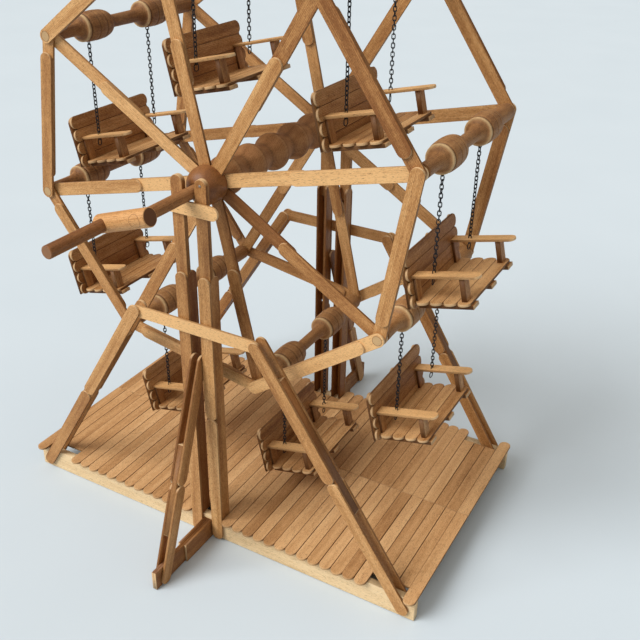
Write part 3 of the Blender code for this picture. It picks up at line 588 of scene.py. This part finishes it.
def wood(name, dark, middle, light, end_grain_and_painted_light_colour, roughness=0.55, coat=0.0, tone=0.14, lines=0.22,
         edge_shade=0.45, end_grain_and_shade_strength=0.45, speckled=0.12):
    """Wood with fibres, growth lines and flecks, long edges darkened by stain and by painted seam shade,
    painted shade in grooves, painted highlights on turned crests, and cut ends in the end colour: pale
    end grain, and painted shade on the crank arm.
    """
    material, node, sums, shade = tree_of(name)
    grain = node("ShaderNodeAttribute", attribute_name="grain").outputs["Vector"]
    look, ends = (node("ShaderNodeSeparateXYZ",
                       {0: node("ShaderNodeAttribute", attribute_name=kind).outputs["Vector"]})
                  for kind in ("look", "ends"))

    def stretched(scale):
        return node("ShaderNodeVectorMath", {0: grain, 1: scale}, operation="MULTIPLY").outputs[0]

    def noise(scale, detail=3.0, rough=0.55):
        return node("ShaderNodeTexNoise", {"Vector": stretched(scale), "Scale": 1.0,
                                           "Detail": detail, "Roughness": rough}).outputs[0]

    def tinted(colour, share, over):
        return node("ShaderNodeMixRGB", {"Fac": share, "Color1": colour, "Color2": over}).outputs[0]

    fibres = noise(FIBRES, 3.0, 0.65)
    stains = noise(STAINS)
    rings = node("ShaderNodeTexWave", {"Vector": stretched(GROWTH_LINES), "Scale": 1.0,
                                       "Distortion": 7.0, "Detail": 2.0, "Detail Scale": 0.7},
                 wave_type="BANDS", bands_direction="Y").outputs["Fac"]
    speckles = sums("SUBTRACT", noise(SPECKLES, 2.0, 0.7), 0.5)
    value = sums("MULTIPLY", noise(BROAD_BANDS, 2.0), BROAD_WEIGHT)
    for pattern, weight in ((fibres, FIBRE_WEIGHT), (stains, STAIN_WEIGHT),
                            (speckles, speckled * SPECKLE_WEIGHT), (rings, lines * LINE_WEIGHT),
                            (look.outputs["X"], tone)):
        value = sums("ADD", value, sums("MULTIPLY", pattern, weight))
    ramp = node("ShaderNodeValToRGB", {"Fac": value})
    ramp.color_ramp.elements[0].position = RAMP_PLACES[0]
    ramp.color_ramp.elements[0].color = (*dark, 1)
    ramp.color_ramp.elements[1].position = RAMP_PLACES[2]
    ramp.color_ramp.elements[1].color = (*light, 1)
    ramp.color_ramp.elements.new(RAMP_PLACES[1]).color = (*middle, 1)
    flecks = node("ShaderNodeMapRange", {0: noise(FLECKS, 2.0), **FLECK_RANGE}).outputs[0]
    colour = tinted(ramp.outputs[0], flecks, scaled(dark, FLECK_SHARE))
    nearest = sums("MINIMUM", ends.outputs["X"], ends.outputs["Y"])
    at_end = node("ShaderNodeMapRange", {0: nearest, **END_RANGE}).outputs[0]
    end_grain = sums("MULTIPLY", at_end, look.outputs["Y"], True)
    # Long edges darken: partly the sticks' own stained edges, partly painted shade in the seams between
    # sticks and on the legs' shaded sides
    long_edge = sums("MULTIPLY", sums("SUBTRACT", look.outputs["Y"], end_grain, True), edge_shade)
    colour = tinted(colour, long_edge, scaled(dark, EDGE_SHARE))
    end_speckles = sums("ADD", sums("MULTIPLY", noise(END_SPECKLES, 2.0), 0.5), end_grain_and_shade_strength)
    # Painted highlight: crests of beads and rounded rims of barrel mouths take the end colour as lit
    # rings; cut ends take it as end grain
    painted_highlight = sums("MULTIPLY", sums("MULTIPLY", look.outputs["Z"], -1.0, True), sums("ADD", stains, 0.25))
    end_grain_and_painted_light_share = sums("MAXIMUM", sums("MULTIPLY", end_grain, end_speckles), painted_highlight)
    colour = tinted(colour, end_grain_and_painted_light_share, (*end_grain_and_painted_light_colour, 1))
    # Painted shade: grooves, bead waists and shoulders of turned parts are darkened for the shade that
    # falls in them
    painted_shading = sums("MULTIPLY", look.outputs["Z"], PAINTED_SHADE_WEIGHT, True)
    colour = tinted(colour, painted_shading, scaled(dark, PAINTED_SHADE_SHARE))
    rough = sums("ADD", sums("MULTIPLY", fibres, 0.22), roughness - 0.11)
    height = sums("ADD", sums("MULTIPLY", fibres, 0.7), sums("MULTIPLY", rings, 0.3))
    bump = node("ShaderNodeBump", {"Strength": BUMP_STRENGTH, "Distance": BUMP_DEPTH,
                                   "Height": height})
    shade(colour, rough, bump.outputs[0], coat=coat, gloss=WOOD_GLOSS)
    return material


def metal(name, colour, roughness):
    """Darkened metal with slight smears."""
    material, node, sums, shade = tree_of(name)
    place = node("ShaderNodeTexCoord").outputs["Object"]
    smear = node("ShaderNodeTexNoise", {"Vector": place, "Scale": SMEAR_SCALE, "Detail": 2.0}).outputs[0]
    tint = node("ShaderNodeMixRGB", {"Fac": smear, "Color1": scaled(colour, SMEAR_SHARES[0]),
                                     "Color2": scaled(colour, SMEAR_SHARES[1])}).outputs[0]
    shade(tint, sums("ADD", sums("MULTIPLY", smear, 0.25), roughness - 0.12), metallic=METALLIC)
    return material


# The fourth colour of each wood is its end colour: pale end grain on cut ends except the crank arm's, and
# also the painted highlight on crests and mouth rims of turned parts
STICK = wood("stick_finish", (0.215, 0.080, 0.020), (0.450, 0.220, 0.074), (0.740, 0.445, 0.195),
             (0.70, 0.50, 0.28), roughness=0.52)
# The deck's and the benches' strong edge darkening is partly painted shade in the seams between their
# sticks
DECK = wood("deck_finish", (0.310, 0.148, 0.053), (0.515, 0.283, 0.120), (0.690, 0.430, 0.212),
            (0.50, 0.33, 0.17), roughness=0.60, tone=0.17, edge_shade=0.9, end_grain_and_shade_strength=0.1)
BENCH = wood("bench_finish", (0.165, 0.058, 0.014), (0.370, 0.172, 0.056), (0.640, 0.385, 0.175),
             (0.60, 0.41, 0.22), roughness=0.56, edge_shade=0.8)
PALE = wood("pale_finish", (0.560, 0.380, 0.190), (0.780, 0.575, 0.330), (0.880, 0.710, 0.470),
            (0.74, 0.55, 0.32), roughness=0.60, edge_shade=0.22, speckled=0.07)
TURNED = wood("turned_finish", (0.150, 0.056, 0.016), (0.320, 0.152, 0.054), (0.460, 0.250, 0.104),
              (0.62, 0.44, 0.23), roughness=0.58, lines=0.12, end_grain_and_shade_strength=0.35)
AXLE = wood("axle_finish", (0.160, 0.062, 0.019), (0.320, 0.146, 0.052), (0.460, 0.240, 0.098),
            (0.42, 0.24, 0.11), roughness=0.66, lines=0.14, speckled=0.10)
HUB = wood("hub_finish", (0.130, 0.044, 0.012), (0.245, 0.098, 0.030), (0.350, 0.163, 0.060),
           (0.26, 0.13, 0.06), roughness=0.42, coat=0.07, lines=0.06, speckled=0.09)
# Painted shade: the crank arm's end colour is dark, for the shade on its end face, which faces away from
# the light
ARM = wood("crank_finish", (0.300, 0.120, 0.035), (0.560, 0.285, 0.106), (0.720, 0.420, 0.185),
           (0.130, 0.048, 0.016), roughness=0.52, coat=0.03, end_grain_and_shade_strength=0.9)
CHAIN = metal("chain_finish", (0.030, 0.030, 0.033), 0.42)
STEEL = metal("nail_finish", (0.35, 0.34, 0.33), 0.40)


# Deck and towers; end is -1 at the crank's side and 1 at the far side

def deck(end):
    """A row of sticks, cut short behind the legs and round the feet of the braces."""
    name = "deck_front" if end < 0 else "deck_rear"
    shape = Shape(name)
    channel_back = LEG_BACK - CHANNEL_DEPTH
    notch = BATTEN_BACK - 2 * STICK_THICK
    for number in range(-SIDE_STICKS - 1, SIDE_STICKS + 2):
        place = abs(number) - 1
        tip = DECK_TIP_Y + shape.jitter(TIP_JITTER)
        is_round = True
        if place <= 0:
            tip, is_round = channel_back - 2 * GAP, False
        elif FIRST_NOTCHED_STICK <= place <= LAST_NOTCHED_STICK:
            tip, is_round = notch, False
        height = DECK_BOTTOM + STICK_THICK / 2 + shape.jitter(LIFT_JITTER)
        start = (number * STICK_WIDTH, end * GAP, height)
        board(shape, start, Y * end, X, tip - GAP, STICK_WIDTH - SEAM, round_start=False,
              round_end=is_round, spread=DECK_SPREAD)
    shape.finish(name + "_sticks", [DECK], "stand", "deck_wood", name)


def batten(name, y, inset):
    """A pale batten on edge under the deck."""
    shape = Shape("batten_" + name)
    half = DECK_HALF_WIDTH - inset
    board(shape, (-half, y, BATTEN_HEIGHT / 2), X, Z, 2 * half, BATTEN_HEIGHT, BATTEN_THICK, False,
          False, edge=BATTEN_EDGE, wander=BATTEN_WANDER)
    shape.finish("batten_" + name + "_bar", [PALE], "stand", "pale_wood", "batten_" + name)


def leg(end, side):
    """One upright: sticks end to end, a channel of sticks on edge and a two-layer top."""
    name = "leg_{}_{}".format("front" if end < 0 else "rear", "left" if side < 0 else "right")
    shape = Shape(name)
    middle = side * LEG_SPACING / 2
    face = end * (LEG_BACK + STICK_THICK / 2)
    board(shape, (middle, face, 0), Z, X, LEG_JOINT_HEIGHT, tone=LEG_TONES[0])
    board(shape, (middle, face, LEG_JOINT_HEIGHT), Z, X, LEG_STEP_HEIGHT - LEG_JOINT_HEIGHT,
          tone=LEG_TONES[1])
    for edge in (-1, 1):
        x = middle + edge * (HALF_STICK - STICK_THICK / 2 - CHANNEL_INSET)
        y = end * (LEG_BACK - CHANNEL_DEPTH / 2)
        board(shape, (x, y, DECK_BOTTOM), Z, Y, LEG_STEP_HEIGHT - DECK_BOTTOM, CHANNEL_DEPTH,
              round_start=False, tone=CHANNEL_SHADE_TONE, wander=CHANNEL_WANDER)
    start = LEG_STEP_HEIGHT - LEG_LAP
    for layer in (0, 1):
        y = end * (LEG_BACK - (layer + 0.5) * STICK_THICK)
        board(shape, (middle, y, start), Z, X, LEG_TOP - start, STICK_WIDTH - 2 * NARROWER,
              round_start=False, tone=LEG_TOP_TONE, wander=LEG_TOP_WANDER)
    if side > 0:
        head = Matrix.Translation((middle, end * LEG_BACK, LEG_TOP - NAIL_DROP))
        turn = head if end > 0 else head @ Matrix.Rotation(math.pi, 4, "Z")
        turned(shape, rounded(NAIL_HEAD), turn, NAIL_STEPS, slot=1)
    shape.finish(name + "_sticks", [STICK, STEEL], "stand", "stick_wood", name)


def brace(end, side):
    """A sloping brace: two layers of lapped sticks with a core, astride the batten."""
    name = "brace_{}_{}".format("front" if end < 0 else "rear", "left" if side < 0 else "right")
    shape = Shape(name)
    foot = Vector((side * BRACE_FOOT[0], end * (LEG_BACK + STICK_THICK / 2), BRACE_FOOT[1]))
    top = Vector((side * BRACE_TOP[0], end * (CROSS_BAR_FACE + GAP + STICK_THICK / 2), BRACE_TOP[1]))
    along = (top - foot).normalized()
    length = (top - foot).length
    across = Y.cross(along)
    inward = along.cross(across).normalized()
    if inward.y * end > 0:
        inward = -inward
    lean = abs(top.y - foot.y) / (top.z - foot.z)
    slot = BATTEN_THICK + BRACE_CLEARANCE + lean * (BATTEN_HEIGHT - BRACE_FOOT[1])
    for layer in (0, 1):
        start = foot + layer * (slot + STICK_THICK) * inward
        for half in (0, 1):
            board(shape, start + along * (half * length / 2), along, across, length / 2,
                  STICK_WIDTH - layer * NARROWER, tone=BRACE_TONES[layer])
    core = foot + along * (BRACE_CORE[0] * length) + inward * (STICK_THICK + slot) / 2
    board(shape, core, along, across, (BRACE_CORE[1] - BRACE_CORE[0]) * length, CORE_WIDTH, slot, False,
          False, tone=CORE_SHADE_TONE, wander=0)
    shape.finish(name + "_sticks", [STICK], "stand", "stick_wood", name)


def bars(end):
    """The cross bar and the bearing stick of one tower."""
    name = "front" if end < 0 else "rear"
    shape = Shape("cross_bar_" + name)
    y = end * (CROSS_BAR_BACK + STICK_THICK / 2)
    board(shape, (-STICK_LENGTH / 2, y, CROSS_BAR_HEIGHT), X, Z, STICK_LENGTH, wander=CROSS_BAR_WANDER,
          tone=CROSS_BAR_TONES[end])
    shape.finish("cross_bar_" + name + "_stick", [STICK], "stand", "pale_wood", "cross_bar_" + name)
    shape = Shape("bearing_" + name)
    y = end * (LEG_BACK + GAP + STICK_THICK / 2)
    height = HUB_HEIGHT - DOWEL_RADIUS - GAP - HALF_STICK
    left, right = BEARING_ENDS
    board(shape, (left, y, height), X, Z, right - left, wander=BEARING_WANDER, tone=BEARING_TONES[end])
    shape.finish("bearing_" + name + "_stick", [STICK], "stand", "pale_wood", "bearing_" + name)


def prop(end):
    """The sloping prop: two layers of lapped sticks astride the foot bar, with a core."""
    name = "prop_front" if end < 0 else "prop_rear"
    shape = Shape(name)
    foot = Vector((0, end * PROP_FOOT_Y, 0))
    top = Vector((0, end * PROP_TOP[0], PROP_TOP[1]))
    along = (top - foot).normalized()
    length = (top - foot).length
    across = X.cross(along)
    foot += Z * HALF_STICK * (1 - along.z)
    slot = FOOT_BAR_THICK + 2 * GAP
    joint = PROP_JOINT * length
    for side in (-1, 1):
        start = foot + X * side * (slot + STICK_THICK) / 2
        board(shape, start, along, across, joint, tone=PROP_TONES[0])
        board(shape, start + along * joint, along, across, length - joint, tone=PROP_TONES[1])
    core = foot + along * (PROP_CORE[0] * length)
    board(shape, core, along, across, (PROP_CORE[1] - PROP_CORE[0]) * length, CORE_WIDTH, slot, False,
          False, tone=CORE_SHADE_TONE, wander=0)
    shape.finish(name + "_sticks", [STICK], "stand", "stick_wood", name)


def foot_bar(end):
    """The bar on the table from the legs out through the prop's foot, thicker near the legs."""
    name = "foot_bar_front" if end < 0 else "foot_bar_rear"
    shape = Shape(name)
    for side in (-1, 1):
        board(shape, (side * FOOT_BAR_THICK / 4, end * LEG_BACK, FOOT_BAR_HEIGHT / 2), Y * end, Z,
              FOOT_BAR_REACH, FOOT_BAR_HEIGHT - NARROWER, FOOT_BAR_THICK / 2, False, False,
              tone=FOOT_BAR_SHADE_TONE, wander=FOOT_BAR_WANDER)
        x = side * (FOOT_BAR_THICK + STICK_THICK) / 2
        board(shape, (x, end * LEG_BACK, FOOT_BAR_HEIGHT / 2), Y * end, Z, FOOT_CHEEK_LENGTH,
              FOOT_BAR_HEIGHT, STICK_THICK, False, False, tone=FOOT_BAR_SHADE_TONE, wander=FOOT_BAR_WANDER)
    shape.finish(name + "_sticks", [STICK], "stand", "stick_wood", name)


# Wheel

def corner(number, radius=RIM_RADIUS, y=0.0):
    """A corner of the wheel as it stands, counted clockwise seen from the crank."""
    angle = WHEEL_TURN - number * math.tau / CORNERS
    return Vector((radius * math.cos(angle), y, HUB_HEIGHT + radius * math.sin(angle)))


def rim(end):
    """The octagon: each side is two lapped sticks, and each corner laps over the next side."""
    name = "rim_front" if end < 0 else "rim_rear"
    shape = Shape(name)
    for k in range(CORNERS):
        start, stop = corner(k), corner(k + 1)
        along = (stop - start).normalized()
        across = Y.cross(along)
        length = HALF_STICK + (stop - start).length - RIM_SETBACK
        first = start - along * HALF_STICK
        board(shape, first + Y * end * RIM_FRONT_MID, along, across, length, tone=RIM_TONES[k])
        layer, tone = RIM_BACK_MID, RIM_BACK_TONE
        if k == SWAPPED_SIDE:
            layer, tone = RIM_FRONT_MID + STICK_THICK, RIM_TONES[k]
        board(shape, start + along * RIM_SETBACK + Y * end * layer, along, across, length,
              STICK_WIDTH - NARROWER, tone=tone)
    shape.finish(name + "_sticks", [STICK], "wheel", "stick_wood", name)


def hub_and_spokes(end):
    """The hub ball with eight spokes, each an inner stick and an outer one lapped over or under it."""
    name = "hub_spokes_front" if end < 0 else "hub_spokes_rear"
    shape = Shape(name)
    for k in range(CORNERS):
        along = (corner(k) - corner(0, 0)).normalized()
        across = Y.cross(along)
        inner_tone, outer_tone = SPOKE_TONES[k] if end < 0 else REAR_SPOKE_TONES
        inner_mid = SPOKE_RAISED_MID if k in RAISED_SPOKES else SPOKE_INNER_MID
        board(shape, corner(k, SPOKE_START, end * inner_mid), along, across,
              SPOKE_INNER_ENDS[k] - SPOKE_START, STICK_WIDTH - NARROWER, round_start=False,
              tone=inner_tone)
        board(shape, corner(k, SPOKE_OVERLAP_START, end * SPOKE_OUTER_MID), along, across,
              RIM_RADIUS + HALF_STICK - SPOKE_OVERLAP_START, tone=outer_tone)
    foot = SPOKE_INNER_MID + STICK_THICK / 2
    swell = foot + HUB_LENGTH * HUB_SWELL
    line = [(SPOKE_BACK, SPOKE_START, 0), (foot, SPOKE_START, 0), (foot, SPOKE_START, 0),
            (foot, HUB_FOOT_RADIUS, HUB_FOOT_SHADE), (foot + HUB_NECK_LENGTH, HUB_NECK_RADIUS, 0)]
    for angle in HUB_ARC:
        place = swell + (foot + HUB_LENGTH - swell) * math.sin(math.radians(angle))
        line.append((place, HUB_RADIUS * math.cos(math.radians(angle)) ** HUB_FULLNESS, 0))
    line.append((foot + HUB_LENGTH, DOWEL_RADIUS + HUB_MOUTH, SHOULDER_SHADE))
    turn = Matrix.Translation((0, 0, HUB_HEIGHT))
    if end < 0:
        turn = turn @ Matrix.Rotation(math.pi, 4, "Z")
    turned(shape, rounded(line), turn, HUB_STEPS, slot=1)
    shape.finish(name + "_sticks", [STICK, HUB], "wheel", "stick_wood", name)


def axle():
    """The axle with its bell-shaped beads between the hubs, and a dowel at each end."""
    waist = [(-SHOULDER, WAIST_RADIUS, SHOULDER_SHADE)] * 2
    line = [(-CRANK_DISTANCE, DOWEL_RADIUS, 0), (-SHOULDER, DOWEL_RADIUS, 0),
            (-SHOULDER, DOWEL_RADIUS, 0)] + waist
    bead = 2 * SHOULDER / AXLE_BEADS
    for number in range(AXLE_BEADS):
        start = -SHOULDER + number * bead
        for share, swell, painted_shading in BEAD_SHAPE:
            radius = WAIST_RADIUS + swell * (BEAD_RADIUS - WAIST_RADIUS)
            line.append((start + share * bead, radius, painted_shading))
        line += [(start + bead, WAIST_RADIUS, SHOULDER_SHADE)] * 2
    line += [(SHOULDER, DOWEL_RADIUS, 0), (SHOULDER, DOWEL_RADIUS, 0),
             (LEG_FACE + STICK_THICK + AXLE_REAR_REACH, DOWEL_RADIUS, 0)]
    shape = Shape("axle")
    turned(shape, rounded(line, per=3), Matrix.Translation((0, 0, HUB_HEIGHT)), AXLE_STEPS)
    shape.finish("axle_beads", [AXLE], "wheel", "hub_wood", "axle")


def crank():
    """The round cross arm on the axle's end and the handle dowel."""
    tilt = Matrix.Translation((0, -CRANK_DISTANCE, HUB_HEIGHT))
    turn = Matrix.Rotation(-WHEEL_TURN - CRANK_TURN, 4, "Y")
    along_x = Y.rotation_difference(X).to_matrix().to_4x4()
    line = []
    for angle in CRANK_ARC:
        place = -CRANK_LEFT + CRANK_LEFT_ROUND * (1 - math.sin(math.radians(angle)))
        line.append((place, CRANK_RADIUS * math.cos(math.radians(angle)) ** CRANK_FULLNESS, 0))
    line += [(CRANK_RIGHT - CRANK_RIGHT_EDGE, CRANK_RADIUS, 0),
             (CRANK_RIGHT - EDGE_BEND, CRANK_RADIUS - EDGE_BEND, 0),
             (CRANK_RIGHT, CRANK_RADIUS - CRANK_RIGHT_EDGE, CRANK_RIGHT_SHADE)]
    shape = Shape("crank_arm")
    turned(shape, rounded(line), tilt @ turn @ along_x, CRANK_STEPS)
    ring_round(shape, tilt @ turn @ Matrix.Translation((0, -CRANK_RADIUS, 0)), DOWEL_RADIUS, 1,
               CRANK_RADIUS)
    shape.finish("crank_arm_bar", [ARM, HUB], "wheel", "hub_wood", "crank_arm")
    start = -(CRANK_DISTANCE + CRANK_RADIUS - HANDLE_DEPTH + GAP)
    end = -(CRANK_DISTANCE + CRANK_RADIUS + HANDLE_LENGTH)
    line = [(end, DOWEL_RADIUS - DOWEL_EDGE, 0), (end + EDGE_BEND, DOWEL_RADIUS - EDGE_BEND, 0),
            (end + DOWEL_EDGE, DOWEL_RADIUS, 0), (start, DOWEL_RADIUS, 0)]
    shape = Shape("crank_handle")
    place = Matrix.Translation((0, 0, HUB_HEIGHT)) @ turn @ Matrix.Translation((-CRANK_THROW, 0, 0))
    turned(shape, rounded(line), place, HANDLE_STEPS)
    shape.finish("crank_handle_dowel", [HUB], "wheel", "turned_wood", "crank_handle")


# Gondolas, built about their spindle's axis at corner k

def spindle_line(front):
    """Tenons, and two grooved barrels whose hollowed mouths face the crank."""
    line = [(front, TENON_RADIUS, 0), (-SHOULDER, TENON_RADIUS, 0), (-SHOULDER, TENON_RADIUS, 0)]
    line += [(-SHOULDER, NECK_RADIUS + NECK_FLARE, NECK_SHADE)] * 2
    for chain_y, after in ((-CHAIN_Y, NECK_RADIUS), (CHAIN_Y, REAR_NECK_RADIUS)):
        mouth = chain_y + BENCH_SHIFT - MOUTH_BEFORE_CHAIN
        for place, radius, painted_shading in BARREL_LINE:
            line.append((mouth + place, radius, painted_shading))
            if place == 0:
                line.append(line[-1])
        line += [(mouth + BARREL_LENGTH, after + BARREL_END_FLARE, SHOULDER_SHADE)] * 2
        line.append((mouth + NECK_START, after, 0))
    line += [(SHOULDER, REAR_NECK_RADIUS, REAR_NECK_SHADE)] * 2
    line += [(SHOULDER, TENON_RADIUS, 0), (SHOULDER, TENON_RADIUS, 0),
             (RIM_FACE + TENON_PROUD, TENON_RADIUS, 0)]
    return line


def spindle(k):
    """The rim spindle of one gondola; at one corner the rim's front stick covers the tenon."""
    name = f"spindle_{k + 1}"
    shape = Shape(name)
    turn = Matrix.Rotation(shape.random.uniform(0, math.tau), 4, "Y")
    front = -RIM_FACE + (STICK_THICK if k == COVERED_PIN else -TENON_PROUD)
    turned(shape, rounded(spindle_line(front), per=3), Matrix.Translation(corner(k)) @ turn,
           SPINDLE_STEPS, tone=shape.jitter(SPINDLE_SPREAD))
    if k != COVERED_PIN:
        ring_round(shape, Matrix.Translation(corner(k, y=front)), TENON_RADIUS, slot=1)
    shape.finish(name + "_turned", [TURNED, HUB], f"gondola_{k + 1}", "turned_wood", name)


def link_path(centre, half_height, half_width, turn):
    """The middle line of one oval link, standing on end and turned about Z."""
    straight = half_height - half_width
    path = []
    for step in range(LINK_STEPS):
        angle = math.tau * (step + 0.5) / LINK_STEPS
        x = half_width * math.cos(angle)
        z = half_width * math.sin(angle) + math.copysign(straight, math.sin(angle))
        path.append(centre + Matrix.Rotation(turn, 3, "Z") @ Vector((x, 0, z)))
    return path


def chain(k, end):
    """A hanging chain of oval links, with the loop that holds the armrest."""
    name = f"chain_{k + 1}_" + ("front" if end < 0 else "rear")
    shape = Shape(name)
    top = corner(k, y=end * CHAIN_Y + BENCH_SHIFT) - Z * (BARREL_RADIUS - CHAIN_BITE)
    span = ARMREST_DROP - BARREL_RADIUS + CHAIN_BITE + STICK_THICK + LOOP_REACH
    count = round(span / LINK_PITCH)
    pitch = span / count
    half_height = pitch / 2 + WIRE_RADIUS
    half_width = LINK_HALF_WIDTH - WIRE_RADIUS
    twist = shape.random.uniform(0, math.pi)
    drift = shape.jitter(TWIST_DRIFT)
    for number in range(count):
        turn = twist + number * (math.pi / 2 + drift) + shape.jitter(LINK_TWIST)
        centre = top - Z * (number + 0.5) * pitch
        wire(shape, link_path(centre, half_height, half_width, turn), WIRE_RADIUS)
    loop = top - Z * (span + LOOP_DROP)
    turn = math.pi / 2 + shape.jitter(LOOP_TWIST)
    wire(shape, link_path(loop, LOOP_HALF_HEIGHT, LOOP_HALF_WIDTH, turn), WIRE_RADIUS)
    shape.finish(name + "_links", [CHAIN], f"gondola_{k + 1}", "chain_metal", name)


def bench(k):
    """The bench: slats, uprights, cross battens, armrests and posts."""
    name = f"seat_{k + 1}"
    shape = Shape(name)
    rear = -ARMREST_BEHIND_CHAIN
    seat_top = -STICK_THICK - SEAT_DROP
    place = (Matrix.Translation(corner(k, y=BENCH_SHIFT) - Z * ARMREST_DROP)
             @ Matrix.Rotation(-SEAT_TILT, 4, "Y"))

    def part(origin, along, across, length, **more):
        turn = place.to_3x3()
        board(shape, place @ Vector(origin), turn @ along, turn @ across, length, **more)

    for slat in range(SEAT_SLATS):
        x = rear + (slat + 0.5) * STICK_WIDTH
        shift = shape.jitter(SLAT_JITTER)
        part((x, -SEAT_HALF_LENGTH + shift, seat_top - STICK_THICK / 2), Y, -X, 2 * SEAT_HALF_LENGTH,
             tone=SEAT_TONE, spread=SLAT_SPREAD, edge=SLAT_EDGE, wander=SLAT_WANDER)
        shift = shape.jitter(SLAT_JITTER)
        z = BACK_RISE - (slat + 0.5) * STICK_WIDTH
        part((rear - STICK_THICK / 2, -BACK_HALF_LENGTH + shift, z), Y, Z, 2 * BACK_HALF_LENGTH,
             spread=SLAT_SPREAD, edge=SLAT_EDGE, wander=SLAT_WANDER)
    outer = BACK_HALF_LENGTH - HALF_STICK
    low = BACK_RISE - SEAT_SLATS * STICK_WIDTH + UPRIGHT_FOOT
    for y in (-outer, 0, outer):
        part((rear - 1.5 * STICK_THICK, y, low), Z, Y, BACK_RISE - UPRIGHT_TOP_DROP - low,
             width=STICK_WIDTH - NARROWER, round_start=False, tone=UPRIGHT_TONE)
    front = rear + SEAT_SLATS * STICK_WIDTH + CROSS_BATTEN_OVERHANG
    for y in (-ARMREST_Y, 0, ARMREST_Y):
        part((rear + STICK_THICK, y, seat_top - STICK_THICK - CROSS_BATTEN_THICK / 2), X, Y,
             front - rear - STICK_THICK, width=STICK_WIDTH - 2 * NARROWER, thick=CROSS_BATTEN_THICK,
             round_start=False, round_end=False, tone=UPRIGHT_TONE)
    post_front = rear + SEAT_SLATS * STICK_WIDTH - FRONT_POST_SETBACK
    for y in (-ARMREST_Y, ARMREST_Y):
        part((rear, y, -STICK_THICK / 2), X, Y, ARMREST_LENGTH, width=ARMREST_WIDTH, round_start=False,
             tone=ARMREST_TONE, slot=1)
        for x, thick in ((post_front - FRONT_POST_THICK / 2, FRONT_POST_THICK),
                         (rear + STICK_THICK / 2, STICK_THICK)):
            part((x, y, seat_top), Z, Y, SEAT_DROP, width=POST_WIDTH, thick=thick, round_start=False,
                 round_end=False)
    shape.finish(name + "_sticks", [BENCH, STICK], f"gondola_{k + 1}", "stick_wood", name)


# Stage

def ground():
    """A plain pale floor."""
    mesh = bpy.data.meshes.new("floor")
    size = FLOOR_HALF_SIZE
    mesh.from_pydata([(-size, -size, FLOOR_HEIGHT), (size, -size, FLOOR_HEIGHT),
                      (size, size, FLOOR_HEIGHT), (-size, size, FLOOR_HEIGHT)], [], [(0, 1, 2, 3)])
    floor = bpy.data.objects.new("floor", mesh)
    bpy.context.scene.collection.objects.link(floor)
    material, node, _, shade = tree_of("floor_finish")
    place = node("ShaderNodeTexCoord").outputs["Object"]
    cloud = node("ShaderNodeTexNoise", {"Vector": place, "Scale": 6.0}).outputs[0]
    tint = node("ShaderNodeMixRGB", {"Fac": cloud, "Color1": FLOOR_COLOURS[0],
                                     "Color2": FLOOR_COLOURS[1]}).outputs[0]
    shade(tint, 0.85, gloss=0.1)
    mesh.materials.append(material)


def light():
    """A warm sky, brightest overhead, with a pale backdrop for the camera, and a soft sun."""
    world = bpy.data.worlds.new("studio")
    world.use_nodes = True
    tree = world.node_tree
    direction = add_node(tree, "ShaderNodeTexCoord").outputs["Generated"]
    height = add_node(tree, "ShaderNodeSeparateXYZ", {0: direction}).outputs["Z"]
    seen = add_node(tree, "ShaderNodeLightPath").outputs["Is Camera Ray"]
    overhead = add_node(tree, "ShaderNodeMapRange", {"Value": height, **SKY_LEVELS}).outputs[0]
    level = add_node(tree, "ShaderNodeMixRGB", {"Fac": seen, "Color1": overhead,
                                                "Color2": BACKDROP_LEVEL}).outputs[0]
    tint = add_node(tree, "ShaderNodeMixRGB", {"Fac": seen, "Color1": SKY_COLOUR,
                                               "Color2": BACKDROP_COLOUR}).outputs[0]
    background = tree.nodes["Background"]
    tree.links.new(level, background.inputs["Strength"])
    tree.links.new(tint, background.inputs["Color"])
    bpy.context.scene.world = world
    sun = bpy.data.lights.new("key", "SUN")
    sun.energy = SUN_STRENGTH
    sun.angle = SUN_SPREAD
    sun.color = SUN_COLOUR
    item = bpy.data.objects.new("key", sun)
    item.rotation_mode = "QUATERNION"
    item.rotation_quaternion = Vector(SUN_DIRECTION).to_track_quat("Z", "Y")
    bpy.context.scene.collection.objects.link(item)


def camera():
    """The camera at the photograph's own place, direction and lens."""
    yaw, pitch, roll = (math.radians(angle) for angle in CAMERA_ANGLES)
    ahead = Vector((math.sin(yaw) * math.cos(pitch), math.cos(yaw) * math.cos(pitch), -math.sin(pitch)))
    right = Vector((math.cos(yaw), -math.sin(yaw), 0))
    up = right.cross(ahead)
    right, up = (math.cos(roll) * right + math.sin(roll) * up,
                 -math.sin(roll) * right + math.cos(roll) * up)
    item = bpy.data.objects.new("camera", bpy.data.cameras.new("camera"))
    bpy.context.scene.collection.objects.link(item)
    item.matrix_world = (Matrix.Translation(CAMERA_PLACE)
                         @ Matrix((right, up, -ahead)).transposed().to_4x4())
    item.data.sensor_width = CAMERA_SENSOR
    item.data.lens = CAMERA_LENS
    item.data.clip_start = CAMERA_NEAR
    bpy.context.scene.camera = item


for tower in (-1, 1):
    deck(tower)
    bars(tower)
    prop(tower)
    foot_bar(tower)
    rim(tower)
    hub_and_spokes(tower)
    for hand in (-1, 1):
        leg(tower, hand)
        brace(tower, hand)
middle_of_batten = (BATTEN_FACE + BATTEN_BACK) / 2
batten("front", -middle_of_batten, BATTEN_INSET)
batten("middle", 0, MIDDLE_BATTEN_INSET)
batten("rear", middle_of_batten, BATTEN_INSET)
axle()
crank()
for gondola in range(CORNERS):
    spindle(gondola)
    chain(gondola, -1)
    chain(gondola, 1)
    bench(gondola)
ground()
light()
camera()
bpy.context.scene.view_settings.view_transform = "Standard"
